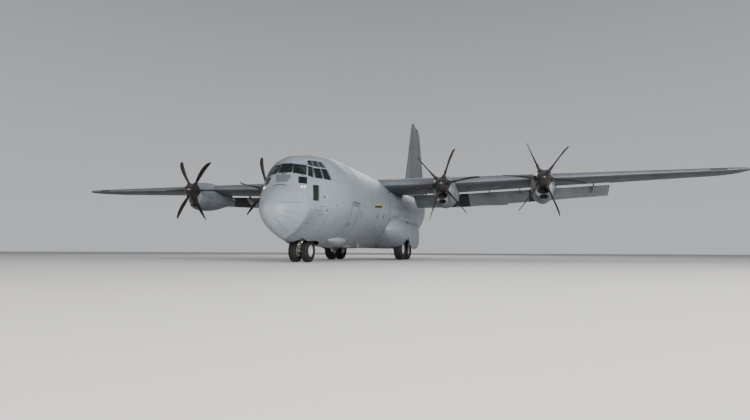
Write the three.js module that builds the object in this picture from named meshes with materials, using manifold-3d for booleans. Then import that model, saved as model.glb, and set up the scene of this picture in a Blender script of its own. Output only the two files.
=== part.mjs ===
// A four-engined turboprop transport plane with a high wing, parked on its gear with its flaps lowered.
// It is a 1:2 scale model, in millimetres. +Z is up, the nose points along -Y and the port wing along +X.
// The origin is on the ground, under the middle of the plane's length.
import * as THREE from "three";
import { mergeVertices } from "three/addons/utils/BufferGeometryUtils.js";
import Module from "manifold-3d";

const wasm = await Module();
wasm.setup();

// Driving dimensions: metres of the full-size plane. A station is a distance aft of the nose tip.
const SCALE = 0.5;
const LENGTH = 29.79;
const HALF_SPAN = 20.2;
const FIN_TOP = 11.84;
const WALL = 0.09;
const FLOOR_TOP = 1.03;
const CARGO_DECK = { halfWidth: 0.97, top: 1.05 };
const SEAM = 0.0012;
const GAP = 0.012;
const END_GAP = 0.03;
const COVE_GAP = 0.02;
const DOOR_GAP = 0.025;

const STATION = {
  radomeTop: 0.95, radomeEnd: 1.2, deckEnd: 5.3, holdEnd: 17.7, rampEnd: 21.0, cargoDoorEnd: 25.0,
  noseAxle: 3.05, mainFrontAxle: 12.4, mainRearAxle: 13.92, propeller: 9.5, wingQuarter: 12.05,
};
const PROPELLER = { spinnerRadius: 0.44, blades: 6 };
const ENGINES = [
  // name, x of the shaft, z of the shaft, angle of the first blade
  ["port_outer", 10.3, 4.2, -7],
  ["port_inner", 5.12, 4.07, 11],
  ["starboard_inner", -5.12, 4.07, -14],
  ["starboard_outer", -10.3, 4.2, -2],
];
const MAIN_WHEEL = { radius: 0.71, width: 0.5, rimRadius: 0.34, x: 2.17 };
const NOSE_WHEEL = { radius: 0.49, width: 0.33, rimRadius: 0.235, x: 0.29 };

// Fuselage sections: station, half width, top, bottom, height of the widest point,
// squareness of the lower half, squareness of the upper half
const FUSELAGE = [
  [0.0, 0.07, 2.12, 1.98, 2.05, 2.0, 2.0],
  [0.06, 0.33, 2.36, 1.72, 2.05, 2.0, 2.0],
  [0.22, 0.515, 2.6, 1.46, 2.06, 1.84, 2.0],
  [0.6, 0.77, 2.92, 1.2, 2.11, 1.58, 2.0],
  [0.95, 0.965, 3.12, 1.05, 2.15, 1.48, 2.03],
  [1.24, 1.13, 3.68, 0.97, 2.19, 1.42, 2.02],
  [1.48, 1.25, 4.08, 0.92, 2.24, 1.4, 1.9],
  [1.8, 1.37, 4.34, 0.87, 2.29, 1.49, 1.95],
  [2.2, 1.57, 4.52, 0.83, 2.36, 1.68, 2.25],
  [2.8, 1.83, 4.66, 0.77, 2.5, 1.88, 2.42],
  [3.6, 2.03, 4.79, 0.73, 2.65, 1.98, 2.25],
  [4.4, 2.11, 4.87, 0.71, 2.75, 2.0, 2.05],
  [5.3, 2.16, 4.92, 0.7, 2.81, 2.05, 2.0],
  [17.7, 2.16, 4.92, 0.7, 2.81, 2.05, 2.0],
  [19.4, 2.12, 4.92, 1.42, 3.0, 2.4, 2.0],
  [21.2, 1.98, 4.92, 2.28, 3.3, 2.5, 2.0],
  [23.2, 1.66, 4.9, 3.2, 3.8, 2.4, 2.0],
  [25.2, 1.22, 4.86, 4.02, 4.36, 2.2, 2.0],
  [27.5, 0.72, 4.8, 4.3, 4.54, 2.0, 2.0],
  [29.3, 0.3, 4.74, 4.46, 4.6, 2.0, 2.0],
  [29.79, 0.07, 4.67, 4.53, 4.6, 2.0, 2.0],
];
const AROUND = 28;

// Wing panels: x, chord, thickness share, height of the quarter-chord point, incidence in degrees
const WING = [
  [0.0, 4.88, 0.178, 4.31, 1.2],
  [5.59, 4.88, 0.165, 4.33, 0.4],
  [10.35, 4.1, 0.146, 4.44, 0.2],
  [19.4, 2.61, 0.11, 4.6, -1.2],
  [20.0, 2.1, 0.1, 4.63, -1.2],
  [20.2, 1.3, 0.07, 4.63, -1.2],
];
const FLAPS = { inner: [2.4, 8.2], outer: [8.26, 14.1], share: 0.29, angle: 31 };
const AILERON = { from: 14.25, to: 19.3, share: 0.25 };

const mm = (metres) => metres * 1000 * SCALE;
const along = (station) => mm(station - LENGTH / 2);
const rad = THREE.MathUtils.degToRad;

// A closed BufferGeometry as a solid for cutting and joining.
function solidOf(geometry, matrix = new THREE.Matrix4()) {
  const plain = new THREE.BufferGeometry().setAttribute("position", geometry.getAttribute("position").clone());
  if (geometry.index) plain.setIndex(geometry.index.clone());
  plain.applyMatrix4(matrix);
  const merged = mergeVertices(plain, 1e-3);
  return new wasm.Manifold(new wasm.Mesh({
    numProp: 3,
    vertProperties: merged.attributes.position.array,
    triVerts: new Uint32Array(merged.index.array),
  }));
}

function geometryOf(solid) {
  const mesh = solid.getMesh();
  const positions = new Float32Array(mesh.numVert * 3);
  for (let i = 0; i < mesh.numVert; i++) {
    positions.set(mesh.vertProperties.subarray(i * mesh.numProp, i * mesh.numProp + 3), i * 3);
  }
  const geometry = new THREE.BufferGeometry().setAttribute("position", new THREE.BufferAttribute(positions, 3));
  geometry.setIndex(new THREE.BufferAttribute(mesh.triVerts, 1));
  geometry.computeVertexNormals();
  return geometry;
}

// A skin through rings of equal length, closed by a fan at each end.
function loft(rings) {
  const count = rings[0].length;
  const points = rings.flat();
  const centreOf = (ring) => ring.reduce((sum, p) => sum.add(p), new THREE.Vector3()).divideScalar(count);
  const first = points.push(centreOf(rings[0])) - 1;
  const last = points.push(centreOf(rings[rings.length - 1])) - 1;
  const faces = [];
  for (let i = 0; i < count; i++) {
    const next = (i + 1) % count;
    for (let r = 0; r < rings.length - 1; r++) {
      const [a, b, c, d] = [r * count + i, r * count + next, (r + 1) * count + next, (r + 1) * count + i];
      faces.push(a, b, c, a, c, d);
    }
    const end = (rings.length - 1) * count;
    faces.push(first, next, i, last, end + i, end + next);
  }
  const geometry = new THREE.BufferGeometry().setFromPoints(points);
  geometry.setIndex(faces);
  const solid = solidOf(geometry);
  if (solid.volume() > 0) return solid;
  for (let f = 0; f < faces.length; f += 3) [faces[f + 1], faces[f + 2]] = [faces[f + 2], faces[f + 1]];
  geometry.setIndex(faces);
  return solidOf(geometry);
}

// A box from its lowest and highest corners: x, station and z in metres.
function block(x0, x1, s0, s1, z0, z1) {
  const box = new THREE.BoxGeometry(mm(x1 - x0), mm(s1 - s0), mm(z1 - z0));
  return solidOf(box, new THREE.Matrix4().makeTranslation(mm((x0 + x1) / 2), along((s0 + s1) / 2), mm((z0 + z1) / 2)));
}

// A round bar between two points given as x, station and z in metres.
function bar(from, to, radius, sides = 12, endRadius = radius) {
  const a = new THREE.Vector3(mm(from[0]), along(from[1]), mm(from[2]));
  const b = new THREE.Vector3(mm(to[0]), along(to[1]), mm(to[2]));
  const turn = new THREE.Quaternion().setFromUnitVectors(
    new THREE.Vector3(0, 1, 0), b.clone().sub(a).normalize());
  const place = new THREE.Matrix4().compose(a.clone().add(b).multiplyScalar(0.5), turn, new THREE.Vector3(1, 1, 1));
  return solidOf(new THREE.CylinderGeometry(mm(endRadius), mm(radius), a.distanceTo(b), sides), place);
}

// An outline in the plane of station and height, pushed through from x0 to x1.
function sidePlate(outline, x0, x1) {
  const shape = new THREE.Shape(outline.map(([s, z]) => new THREE.Vector2(along(s), mm(z))));
  const plate = new THREE.ExtrudeGeometry(shape, { depth: mm(x1 - x0), bevelEnabled: false, curveSegments: 6 });
  const turn = new THREE.Matrix4().set(0, 0, 1, mm(x0), 1, 0, 0, 0, 0, 1, 0, 0, 0, 0, 0, 1);
  return solidOf(plate, turn);
}

// An outline in the plane of x and height, pushed through from station s0 to s1.
function frontPlate(outline, s0, s1) {
  const shape = new THREE.Shape(outline.map(([x, z]) => new THREE.Vector2(mm(x), mm(z))));
  const plate = new THREE.ExtrudeGeometry(shape, { depth: mm(s1 - s0), bevelEnabled: false });
  const turn = new THREE.Matrix4().set(1, 0, 0, 0, 0, 0, -1, along(s1), 0, 1, 0, 0, 0, 0, 0, 1);
  return solidOf(plate, turn);
}

// An outline seen from above, in x and station, pushed through from z0 to z1.
function topPlate(outline, z0, z1) {
  const shape = new THREE.Shape(outline.map(([x, s]) => new THREE.Vector2(mm(x), along(s))));
  const plate = new THREE.ExtrudeGeometry(shape, { depth: mm(z1 - z0), bevelEnabled: false });
  return solidOf(plate, new THREE.Matrix4().makeTranslation(0, 0, mm(z0)));
}

const join = (...solids) => solids.reduce((sum, part) => sum.add(part));
const cut = (solid, ...tools) => tools.reduce((rest, tool) => rest.subtract(tool), solid);
const mirrored = (solid) => solid.mirror([1, 0, 0]);

// The largest body of a solid, without the slivers that a cut can leave.
function mainBody(solid) {
  return solid.decompose().sort((a, b) => b.volume() - a.volume())[0];
}

// The fuselage section at a station, worked out between the rows of the table.
function fuselageRow(station) {
  const last = FUSELAGE.length - 1;
  const above = Math.min(last, Math.max(1, FUSELAGE.findIndex((row) => row[0] >= station)));
  const [a, b] = [FUSELAGE[above - 1], FUSELAGE[above]];
  const share = THREE.MathUtils.clamp((station - a[0]) / (b[0] - a[0]), 0, 1);
  return a.map((value, i) => value + (b[i] - value) * share);
}

function fuselageRing(station, inset) {
  const [, half, top, bottom, wide, lower, upper] = fuselageRow(station);
  const ring = [];
  for (let i = 0; i < AROUND; i++) {
    const angle = (i / AROUND) * 2 * Math.PI;
    const [c, s] = [Math.cos(angle), Math.sin(angle)];
    const power = 2 / (s < 0 ? lower : upper);
    const height = s < 0 ? wide - bottom - inset : top - wide - inset;
    ring.push(new THREE.Vector3(
      mm(Math.sign(c) * Math.abs(c) ** power * (half - inset)),
      along(station),
      mm(wide + Math.sign(s) * Math.abs(s) ** power * height)));
  }
  return ring;
}

// The fuselage's outer form, drawn in by an inset, from one station to another.
function fuselageForm(s0, s1, inset = 0) {
  const between = FUSELAGE.map((row) => row[0]).filter((s) => s > s0 + 0.01 && s < s1 - 0.01);
  return loft([s0, ...between, s1].map((s) => fuselageRing(s, inset)));
}

function fuselageTube(s0, s1, wall = WALL) {
  return cut(fuselageForm(s0, s1), fuselageForm(s0 - 0.05, s1 + 0.05, wall));
}

// Half of a four-digit thickness curve, as a share of the chord.
function thicknessAt(x) {
  return 5 * (0.2969 * Math.sqrt(x) - 0.126 * x - 0.3516 * x * x + 0.2843 * x ** 3 - 0.1036 * x ** 4);
}

const CHORD_STEPS = [0, 0.012, 0.05, 0.12, 0.25, 0.42, 0.6, 0.8, 1];

// An aerofoil as points of (chord share, height share), from the trailing edge over the top and back below.
function aerofoil(thick, steps = CHORD_STEPS, camber = 0.02) {
  const line = (x) => camber * 4 * x * (1 - x);
  const upper = [...steps].reverse().map((x) => [x, line(x) + Math.max(thicknessAt(x) * thick, x === 1 ? 0.003 : 0)]);
  const lower = steps.slice(1).map((x) => [x, line(x) - Math.max(thicknessAt(x) * thick, x === 1 ? 0.003 : 0)]);
  return [...upper, ...lower];
}

// The hollow between the front and rear spars of a surface, open where the caller lets it run out.
function sparBox(thick, chord, wall) {
  const shares = [0.08, 0.2, 0.4, 0.58];
  const high = (x) => thicknessAt(x) * thick - wall / chord;
  return [...[...shares].reverse().map((x) => [x, high(x)]), ...shares.map((x) => [x, -high(x)])];
}

function wingRow(x) {
  const above = Math.max(1, WING.findIndex((row) => row[0] >= x - 1e-9));
  const [a, b] = [WING[above - 1], WING[above]];
  return a.map((value, i) => value + (b[i] - value) * ((x - a[0]) / (b[0] - a[0])));
}

// A point of the wing at x, given as shares of the local chord behind the leading edge and above the chord line.
function wingPoint(x, back, up) {
  const [, chord, , height, incidence] = wingRow(Math.abs(x));
  const [dy, dz] = [(back - 0.25) * chord, up * chord];
  const turn = -rad(incidence);
  return new THREE.Vector3(mm(x), along(STATION.wingQuarter + dy * Math.cos(turn) - dz * Math.sin(turn)),
    mm(height + dy * Math.sin(turn) + dz * Math.cos(turn)));
}

// Moves each point of a closed outline outwards by a distance.
function grown(outline, distance) {
  const count = outline.length;
  return outline.map(([a, b], i) => {
    const [before, after] = [outline[(i + count - 1) % count], outline[(i + 1) % count]];
    const [da, db] = [after[0] - before[0], after[1] - before[1]];
    const size = Math.hypot(da, db);
    return [a + (db / size) * distance, b - (da / size) * distance];
  });
}

// The wing between two values of x, drawn out by grow all round.
function wingForm(x0, x1, grow = 0) {
  const rows = WING.map((row) => row[0]).filter((x) => x > x0 + 0.01 && x < x1 - 0.01);
  return loft([x0, ...rows, x1].map((x) => {
    const [, chord, thick] = wingRow(x);
    return grown(aerofoil(thick), grow / chord).map(([back, up]) => wingPoint(x, back, up));
  }));
}

// A block over a stretch of the wing, from one share of the chord to another.
function wingBlock(x0, x1, back0, back1, top = 0.3) {
  const ring = (x) => [[back0, -0.3], [back1, -0.3], [back1, top], [back0, top]].map(([b, u]) => wingPoint(x, b, u));
  return loft([ring(x0), ring(x1)]);
}

const materials = {};
function paint(name, color, roughness, metalness) {
  materials[name] = new THREE.MeshStandardMaterial({ color, roughness, metalness });
}
paint("grey", 0x7d868d, 0.45, 0.1);
paint("glass", 0x1a2226, 0.1, 0);
paint("tyre", 0x18181a, 0.9, 0);
paint("blade", 0x1d1e20, 0.55, 0);
paint("steel", 0xb9bcbd, 0.4, 0.8);
paint("white", 0xd8d8d4, 0.5, 0.1);
paint("deck", 0x3a3d3e, 0.8, 0);
paint("engine", 0x55504c, 0.6, 0.6);

const plane = new THREE.Group();
function add(name, solid, material = "grey") {
  const mesh = new THREE.Mesh(geometryOf(mainBody(solid)), materials[material]);
  mesh.name = name;
  plane.add(mesh);
}

// Fuselage
const CREW_DOOR = { s0: 3.84, s1: 4.66, z0: 1.06, z1: 2.66 };
const JUMP_DOOR = { s0: 16.72, s1: 17.56, z0: 1.1, z1: 2.9 };
const DECK_SPLIT = 3.04;

// Side windows of the cockpit: corners in station and height. Front panes: corners in x and height.
const SIDE_PANES = [
  [[1.56, 3.57], [1.74, 3.52], [1.93, 3.92], [1.81, 3.96]],
  [[1.83, 3.51], [2.09, 3.5], [2.17, 3.89], [1.96, 3.89]],
  [[2.16, 3.49], [2.45, 3.48], [2.45, 3.89], [2.23, 3.89]],
  [[1.89, 4.07], [2.0, 4.02], [2.12, 4.24], [2.01, 4.23]],
  [[2.04, 4.02], [2.2, 4.01], [2.33, 4.23], [2.16, 4.23]],
  [[2.26, 4.01], [2.45, 4.01], [2.46, 4.22], [2.37, 4.22]],
  [[1.42, 2.54], [1.68, 2.55], [1.81, 3.0], [1.53, 3.0]],
];
const FRONT_PANES = [
  [[-0.28, 3.68], [0.28, 3.68], [0.245, 4.05], [-0.245, 4.05]],
  [[0.38, 3.66], [0.82, 3.59], [0.705, 3.99], [0.305, 4.03]],
];
const CHIN_PANE = [[0.69, 3.22], [0.925, 3.2], [0.865, 3.44], [0.635, 3.45]];

function paneCutters() {
  const sides = SIDE_PANES.map((outline) => sidePlate(outline, 0.5, 2.3));
  const front = FRONT_PANES.map((outline) => frontPlate(outline, 1.0, 2.1));
  const cutters = [...sides, ...front, frontPlate(CHIN_PANE, 1.0, 1.7)];
  return join(...cutters, ...cutters.map(mirrored));
}

// The space ahead of the radome's rear edge, which runs forwards towards its top
const radomeSpace = (shift) => sidePlate([[-1, -1], [STATION.radomeEnd + shift, -1], [STATION.radomeEnd + shift, 2.5],
  [STATION.radomeTop + shift, 3.08], [STATION.radomeTop + shift, 6], [-1, 6]], -3, 3);
add("radome", fuselageForm(0.0, STATION.radomeEnd + 0.2).intersect(radomeSpace(-SEAM)));

const deckTube = cut(fuselageTube(STATION.radomeTop, STATION.deckEnd - SEAM), radomeSpace(SEAM));
const below = (z) => block(-3, 3, -1, 31, -1, z);
const above = (z) => block(-3, 3, -1, 31, z, 6);
const panes = paneCutters();
add("cockpit_upper", cut(deckTube, below(DECK_SPLIT + SEAM), panes));

const doorPrism = (door, grow) =>
  block(0.6, 2.6, door.s0 - grow, door.s1 + grow, door.z0 - grow, door.z1 + grow);
const steeringWell = bar([0, STATION.noseAxle, 0.3], [0, STATION.noseAxle, 1.15], 0.76, 20);
const noseBay = block(-0.5, 0.5, 1.97, 3.92, -0.5, 1.94);
const noseBayWalls = block(-0.57, 0.57, 1.9, 3.99, 0.78, 2.01);
const entryFloor = block(-3, 3, 3.95, STATION.deckEnd - SEAM, 0.8, FLOOR_TOP);
const insideForm = fuselageForm(1.3, 6, 0.05);
const chinBulkhead = cut(fuselageForm(STATION.radomeTop, STATION.radomeEnd + 0.2).intersect(radomeSpace(0.1)),
  radomeSpace(SEAM), above(DECK_SPLIT - SEAM));
const lowerShell = join(cut(deckTube, above(DECK_SPLIT - SEAM)), chinBulkhead,
  join(noseBayWalls, entryFloor).intersect(insideForm));
add("cockpit_lower", cut(lowerShell, doorPrism(CREW_DOOR, DOOR_GAP), steeringWell, noseBay, panes));
add("crew_door", deckTube.intersect(doorPrism(CREW_DOOR, 0)));

// The glazing is one curved pane behind every window opening.
const glassInset = WALL + 0.01;
const glassForm = cut(fuselageForm(1.1, 2.75, glassInset), fuselageForm(1.0, 2.9, glassInset + 0.03));
add("cockpit_glazing", cut(glassForm, below(DECK_SPLIT + 0.1), above(4.45)), "glass");

// The flight deck carries the two seats, the instrument panel and the centre console on its floor.
function seat(x) {
  return join(block(x - 0.24, x + 0.24, 2.5, 3.0, 2.2, 2.75), block(x - 0.23, x + 0.23, 2.96, 3.1, 2.7, 3.5),
    block(x - 0.13, x + 0.13, 2.98, 3.08, 3.46, 3.72));
}
const stairwell = block(0.25, 3, 3.95, 5.14, 1.9, 2.4);
const deckFloor = cut(block(-3, 3, 1.6, 5.2, 2.1, 2.22), stairwell);
const bulkhead = cut(block(-3, 3, 5.12, 5.24, FLOOR_TOP + 0.04, 5), block(0.3, 1.05, 5, 5.3, 1, 2.95),
  block(-0.4, 0.4, 5, 5.3, 3.1, 3.9));
const panelBlock = block(-1.2, 1.2, 1.78, 2.02, 2.2, 3.32);
const insideDeck = fuselageForm(1.3, STATION.deckEnd, WALL + 0.045);
add("flight_deck", join(deckFloor, bulkhead, panelBlock, block(-0.22, 0.22, 2.0, 2.95, 2.2, 2.72), seat(0.72), seat(-0.72))
  .intersect(insideDeck), "deck");

const hold = fuselageTube(STATION.deckEnd + SEAM, STATION.holdEnd - SEAM);
const wingMiddle = wingForm(0, 4, 2 * SEAM);
const wingRoom = join(wingMiddle, mirrored(wingMiddle));
const jumpPrism = (grow) => {
  const { s0, s1, z0, z1 } = JUMP_DOOR;
  return block(1.2, 2.6, s0 - grow, s1 + grow, z0 - grow, z1 + grow);
};
const jumpCut = join(jumpPrism(GAP), mirrored(jumpPrism(GAP)));
add("hold_shell", cut(hold, below(FLOOR_TOP + SEAM), jumpCut, wingRoom));
// The cargo floor stands a little above the foot of the shell, so that freight can lie flat on it.
const cargoDeck = block(-CARGO_DECK.halfWidth, CARGO_DECK.halfWidth, STATION.deckEnd + 0.05, STATION.holdEnd - 0.05,
  FLOOR_TOP - 0.02, CARGO_DECK.top);
const floorForm = cut(fuselageForm(STATION.deckEnd + SEAM, STATION.holdEnd - SEAM), above(FLOOR_TOP - SEAM));
add("hold_floor", join(floorForm, cargoDeck));
const jumpDoor = hold.intersect(jumpPrism(0));
add("jump_door_port", jumpDoor);
add("jump_door_starboard", mirrored(jumpDoor));

// Aft fuselage with the ramp and the upper cargo door
const aftTube = fuselageTube(STATION.holdEnd + SEAM, STATION.cargoDoorEnd + 0.2, 0.07);
const RAMP = { halfWidth: 1.5, rise: 0.436, endFoot: 2.18, endLean: 0.52 };
// The space below the ramp's upper face, longer by grow at both ends, wider by wide and higher by lift
function rampSpace(grow, wide, lift) {
  const [s0, s1] = [STATION.holdEnd - grow, STATION.rampEnd + grow];
  const faceAt = (s) => FLOOR_TOP - 0.01 + lift + (s - STATION.holdEnd) * RAMP.rise;
  return sidePlate([[s0, -1], [s1, -1], [s1, faceAt(s1)], [s0, faceAt(s0)]],
    -RAMP.halfWidth - wide, RAMP.halfWidth + wide);
}
const doorPlan = (grow) => [[-1.44 - grow, STATION.rampEnd - 0.1], [1.44 + grow, STATION.rampEnd - 0.1],
  [0.86 + grow, STATION.cargoDoorEnd + grow], [-0.86 - grow, STATION.cargoDoorEnd + grow]];
const cargoDoorSpace = (grow) => topPlate(doorPlan(grow), 1.5, 4.4);
// The ramp's aft end leans forwards, so that neither it nor the cargo door's front end meets the other as they swing.
const rampEndFace = sidePlate([[STATION.rampEnd - GAP, RAMP.endFoot], [STATION.rampEnd + 1, RAMP.endFoot],
  [STATION.rampEnd + 1, 3], [STATION.rampEnd - GAP - RAMP.endLean * (3 - RAMP.endFoot), 3]], -2, 2);
add("ramp", cut(rampSpace(-GAP, 0, 0), rampEndFace).intersect(fuselageForm(STATION.holdEnd, STATION.rampEnd + 0.1)));
const doorForm = cut(fuselageForm(STATION.rampEnd - 0.05, STATION.cargoDoorEnd + 0.1),
  fuselageForm(STATION.rampEnd - 0.1, STATION.cargoDoorEnd + 0.3, 0.13));
add("cargo_door", cut(doorForm.intersect(cargoDoorSpace(0)), rampSpace(GAP, 1, GAP),
  block(-2, 2, STATION.rampEnd - 0.2, STATION.rampEnd + GAP, 0, 4)));

// Tail: fin with its dorsal fillet, rudder, tailplane and elevator
const FIN_THICK = 0.12;
// Fin sections: height, station of the leading edge, station of the trailing edge
const FIN_ROWS = [
  [4.7, 23.1, 29.35],
  [6.4, 23.85, 29.05],
  [10.9, 25.75, 28.3],
  [11.6, 26.25, 28.05],
  [FIN_TOP, 26.95, 27.8],
];
function finForm(rows, thick) {
  return loft(rows.map(([z, front, back]) => aerofoil(thick, CHORD_STEPS, 0).map(([share, side]) =>
    new THREE.Vector3(mm(side * (back - front)), along(front + share * (back - front)), mm(z)))));
}
// The parked rudder is turned to port by rest, in degrees.
const RUDDER = { z0: 5.36, z1: 11.1, hinge: 0.66, rest: 15 };
function finPlane(share, z) {
  const upper = Math.max(1, FIN_ROWS.findIndex((row) => row[0] >= z));
  const [a, b] = [FIN_ROWS[upper - 1], FIN_ROWS[upper]];
  const t = (z - a[0]) / (b[0] - a[0]);
  const [front, back] = [a[1] + (b[1] - a[1]) * t, a[2] + (b[2] - a[2]) * t];
  return front + share * (back - front);
}
const hingeLow = [finPlane(RUDDER.hinge, RUDDER.z0), RUDDER.z0];
const hingeHigh = [finPlane(RUDDER.hinge, RUDDER.z1), RUDDER.z1];
const rudderSpace = (grow) => sidePlate([[hingeLow[0], hingeLow[1] - grow], [31, hingeLow[1] - grow],
  [31, hingeHigh[1] + grow], [hingeHigh[0], hingeHigh[1] + grow]], -1, 1);
// The round nose of the rudder, as thick as the fin at the hinge
function rudderNose(grow, longer) {
  const ends = [[hingeLow, -longer], [hingeHigh, longer]];
  const radii = [hingeLow, hingeHigh].map(([, z]) => {
    const chord = finPlane(1, z) - finPlane(0, z);
    return thicknessAt(RUDDER.hinge) * FIN_THICK * chord * 0.98 + grow;
  });
  const [low, high] = ends.map(([[s, z], more]) => [0, s, z + more]);
  return bar(low, high, radii[0], 14, radii[1]);
}
const finSolid = finForm(FIN_ROWS, FIN_THICK);
const finHollow = loft([4.4, 7.5, 10.9].map((z) => {
  const [front, chord] = [finPlane(0, Math.max(z, 4.71)), finPlane(1, Math.max(z, 4.71)) - finPlane(0, Math.max(z, 4.71))];
  return sparBox(FIN_THICK, chord, 0.05).map(([share, side]) =>
    new THREE.Vector3(mm(side * chord), along(front + share * chord), mm(z)));
}));
const tailEnd = fuselageForm(STATION.cargoDoorEnd + 0.2 + SEAM, LENGTH);
const dorsal = loft([[20.6, 0.02, 0.03], [22.2, 0.12, 0.3], [23.6, 0.2, 1.1]].map(([s, half, high]) =>
  [[half, 0], [half * 0.6, high * 0.7], [0, high], [-half * 0.6, high * 0.7], [-half, 0]].map(([x, z]) =>
    new THREE.Vector3(mm(x), along(s), mm(4.8 + z)))));

const TAILPLANE = { halfSpan: 8.03, z: 4.62, rootFront: 25.0, rootBack: 29.05, tipFront: 26.55, tipBack: 28.5 };
function tailRow(x) {
  const t = Math.abs(x) / TAILPLANE.halfSpan;
  return [TAILPLANE.rootFront + (TAILPLANE.tipFront - TAILPLANE.rootFront) * t,
    TAILPLANE.rootBack + (TAILPLANE.tipBack - TAILPLANE.rootBack) * t];
}
function tailplaneForm(grow = 0) {
  const rows = [[-8.03, 0.55], [-7.8, 0.92], [-7.3, 1], [0, 1], [7.3, 1], [7.8, 0.92], [8.03, 0.55]];
  return loft(rows.map(([x, share]) => {
    const [front, back] = tailRow(x);
    const middle = (front + back) / 2;
    return grown(aerofoil(0.12, CHORD_STEPS, 0), grow / (back - front)).map(([part, up]) => new THREE.Vector3(
      mm(x), along(middle + (front - middle + part * (back - front)) * share),
      mm(TAILPLANE.z + up * (back - front) * share)));
  }));
}
const tailplane = tailplaneForm();
const ELEVATOR = { from: 0.95, to: 7.55, share: 0.64 };
const elevatorEdge = (x, grow) => {
  const [front, back] = tailRow(x);
  return [x, front + ELEVATOR.share * (back - front) - grow];
};
const elevatorSpace = (grow) => topPlate([elevatorEdge(ELEVATOR.from - grow, 0), [ELEVATOR.from - grow, 31],
  [ELEVATOR.to + grow, 31], elevatorEdge(ELEVATOR.to + grow, 0)], 3.5, 5.5);
function elevatorNose(grow, longer) {
  const ends = [[ELEVATOR.from, -longer], [ELEVATOR.to, longer]].map(([x, more]) => {
    const [front, back] = tailRow(x);
    const share = x > 7.3 ? 0.95 : 1;
    const radius = thicknessAt(ELEVATOR.share) * 0.12 * (back - front) * 0.98 * share + grow;
    return [[x + more, front + ELEVATOR.share * (back - front), TAILPLANE.z], radius];
  });
  return bar(ends[0][0], ends[1][0], ends[0][1], 14, ends[1][1]);
}
const elevatorPort = join(tailplane.intersect(elevatorSpace(0)), elevatorNose(0, -END_GAP));

// The rows are cut in turn, so that each solid keeps a seam to the one before it.
const elevatorRoom = join(elevatorSpace(END_GAP), elevatorNose(GAP, 2 * END_GAP));
const bothElevators = join(elevatorRoom, mirrored(elevatorRoom));
const tailplaneHollow = loft([-7.2, 0, 7.2].map((x) => {
  const [front, back] = tailRow(x);
  return sparBox(0.12, back - front, 0.05).map(([share, up]) => new THREE.Vector3(
    mm(x), along(front + share * (back - front)), mm(TAILPLANE.z + up * (back - front))));
}));
add("tailplane", cut(tailplane, bothElevators, tailplaneHollow, block(-0.3, 0.3, 26.2, 26.9, 4, TAILPLANE.z)));
const tailplaneRoom = tailplaneForm(2 * SEAM);
add("tail_cone", cut(tailEnd, tailplaneRoom));
add("aft_fuselage", cut(aftTube, rampSpace(0.3, GAP, GAP), cargoDoorSpace(GAP), tailplaneRoom));
add("fin", cut(join(finSolid, dorsal), finHollow, rudderSpace(END_GAP), rudderNose(COVE_GAP, 2 * END_GAP),
  fuselageForm(20, LENGTH, -2 * SEAM), tailplaneRoom));
const straightRudder = join(finSolid.intersect(rudderSpace(0)), rudderNose(0, -END_GAP));
const hingeFoot = new THREE.Vector3(0, along(hingeLow[0]), mm(hingeLow[1]));
const hingeWay = new THREE.Vector3(0, along(hingeHigh[0]), mm(hingeHigh[1])).sub(hingeFoot).normalize();
const rudderTurn = new THREE.Matrix4().makeTranslation(hingeFoot)
  .multiply(new THREE.Matrix4().makeRotationAxis(hingeWay, rad(-RUDDER.rest)))
  .multiply(new THREE.Matrix4().makeTranslation(hingeFoot.clone().negate()));
add("rudder", solidOf(geometryOf(straightRudder), rudderTurn));
add("elevator_port", elevatorPort);
add("elevator_starboard", mirrored(elevatorPort));

// Wing with its flaps and ailerons
const aileronSpace = (grow) => wingBlock(AILERON.from - grow, AILERON.to + grow, 1 - AILERON.share, 1.3);
const aileronHinge = (x) => wingPoint(x, 1 - AILERON.share, 0.02 * 4 * AILERON.share * (1 - AILERON.share));
function aileronNose(grow, longer) {
  const ends = [[AILERON.from, -longer], [AILERON.to, longer]].map(([x, more]) => {
    const [, chord, thick] = wingRow(x);
    const point = aileronHinge(x + more).multiplyScalar(1 / mm(1));
    return [[point.x, point.y + LENGTH / 2, point.z], thicknessAt(1 - AILERON.share) * thick * chord * 0.97 + grow];
  });
  return bar(ends[0][0], ends[1][0], ends[0][1], 14, ends[1][1]);
}
const flapEnds = [FLAPS.inner[0] - 0.02, FLAPS.outer[1] + 0.02];
const flapSpace = join(wingBlock(...flapEnds, 0.76, 1.3, 0.004), wingBlock(...flapEnds, 0.92, 1.3));
const outerWing = cut(wingForm(5.59 + SEAM, HALF_SPAN), aileronSpace(END_GAP), aileronNose(GAP, 2 * END_GAP), flapSpace);
const innerHalf = cut(wingForm(0, 5.59 - SEAM), flapSpace);
add("wing_centre", join(innerHalf, mirrored(innerHalf)));
add("wing_port", outerWing);
add("wing_starboard", mirrored(outerWing));
const aileron = join(wingForm(AILERON.from, AILERON.to).intersect(aileronSpace(0)), aileronNose(0, -END_GAP));
add("aileron_port", aileron);
add("aileron_starboard", mirrored(aileron));

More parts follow.
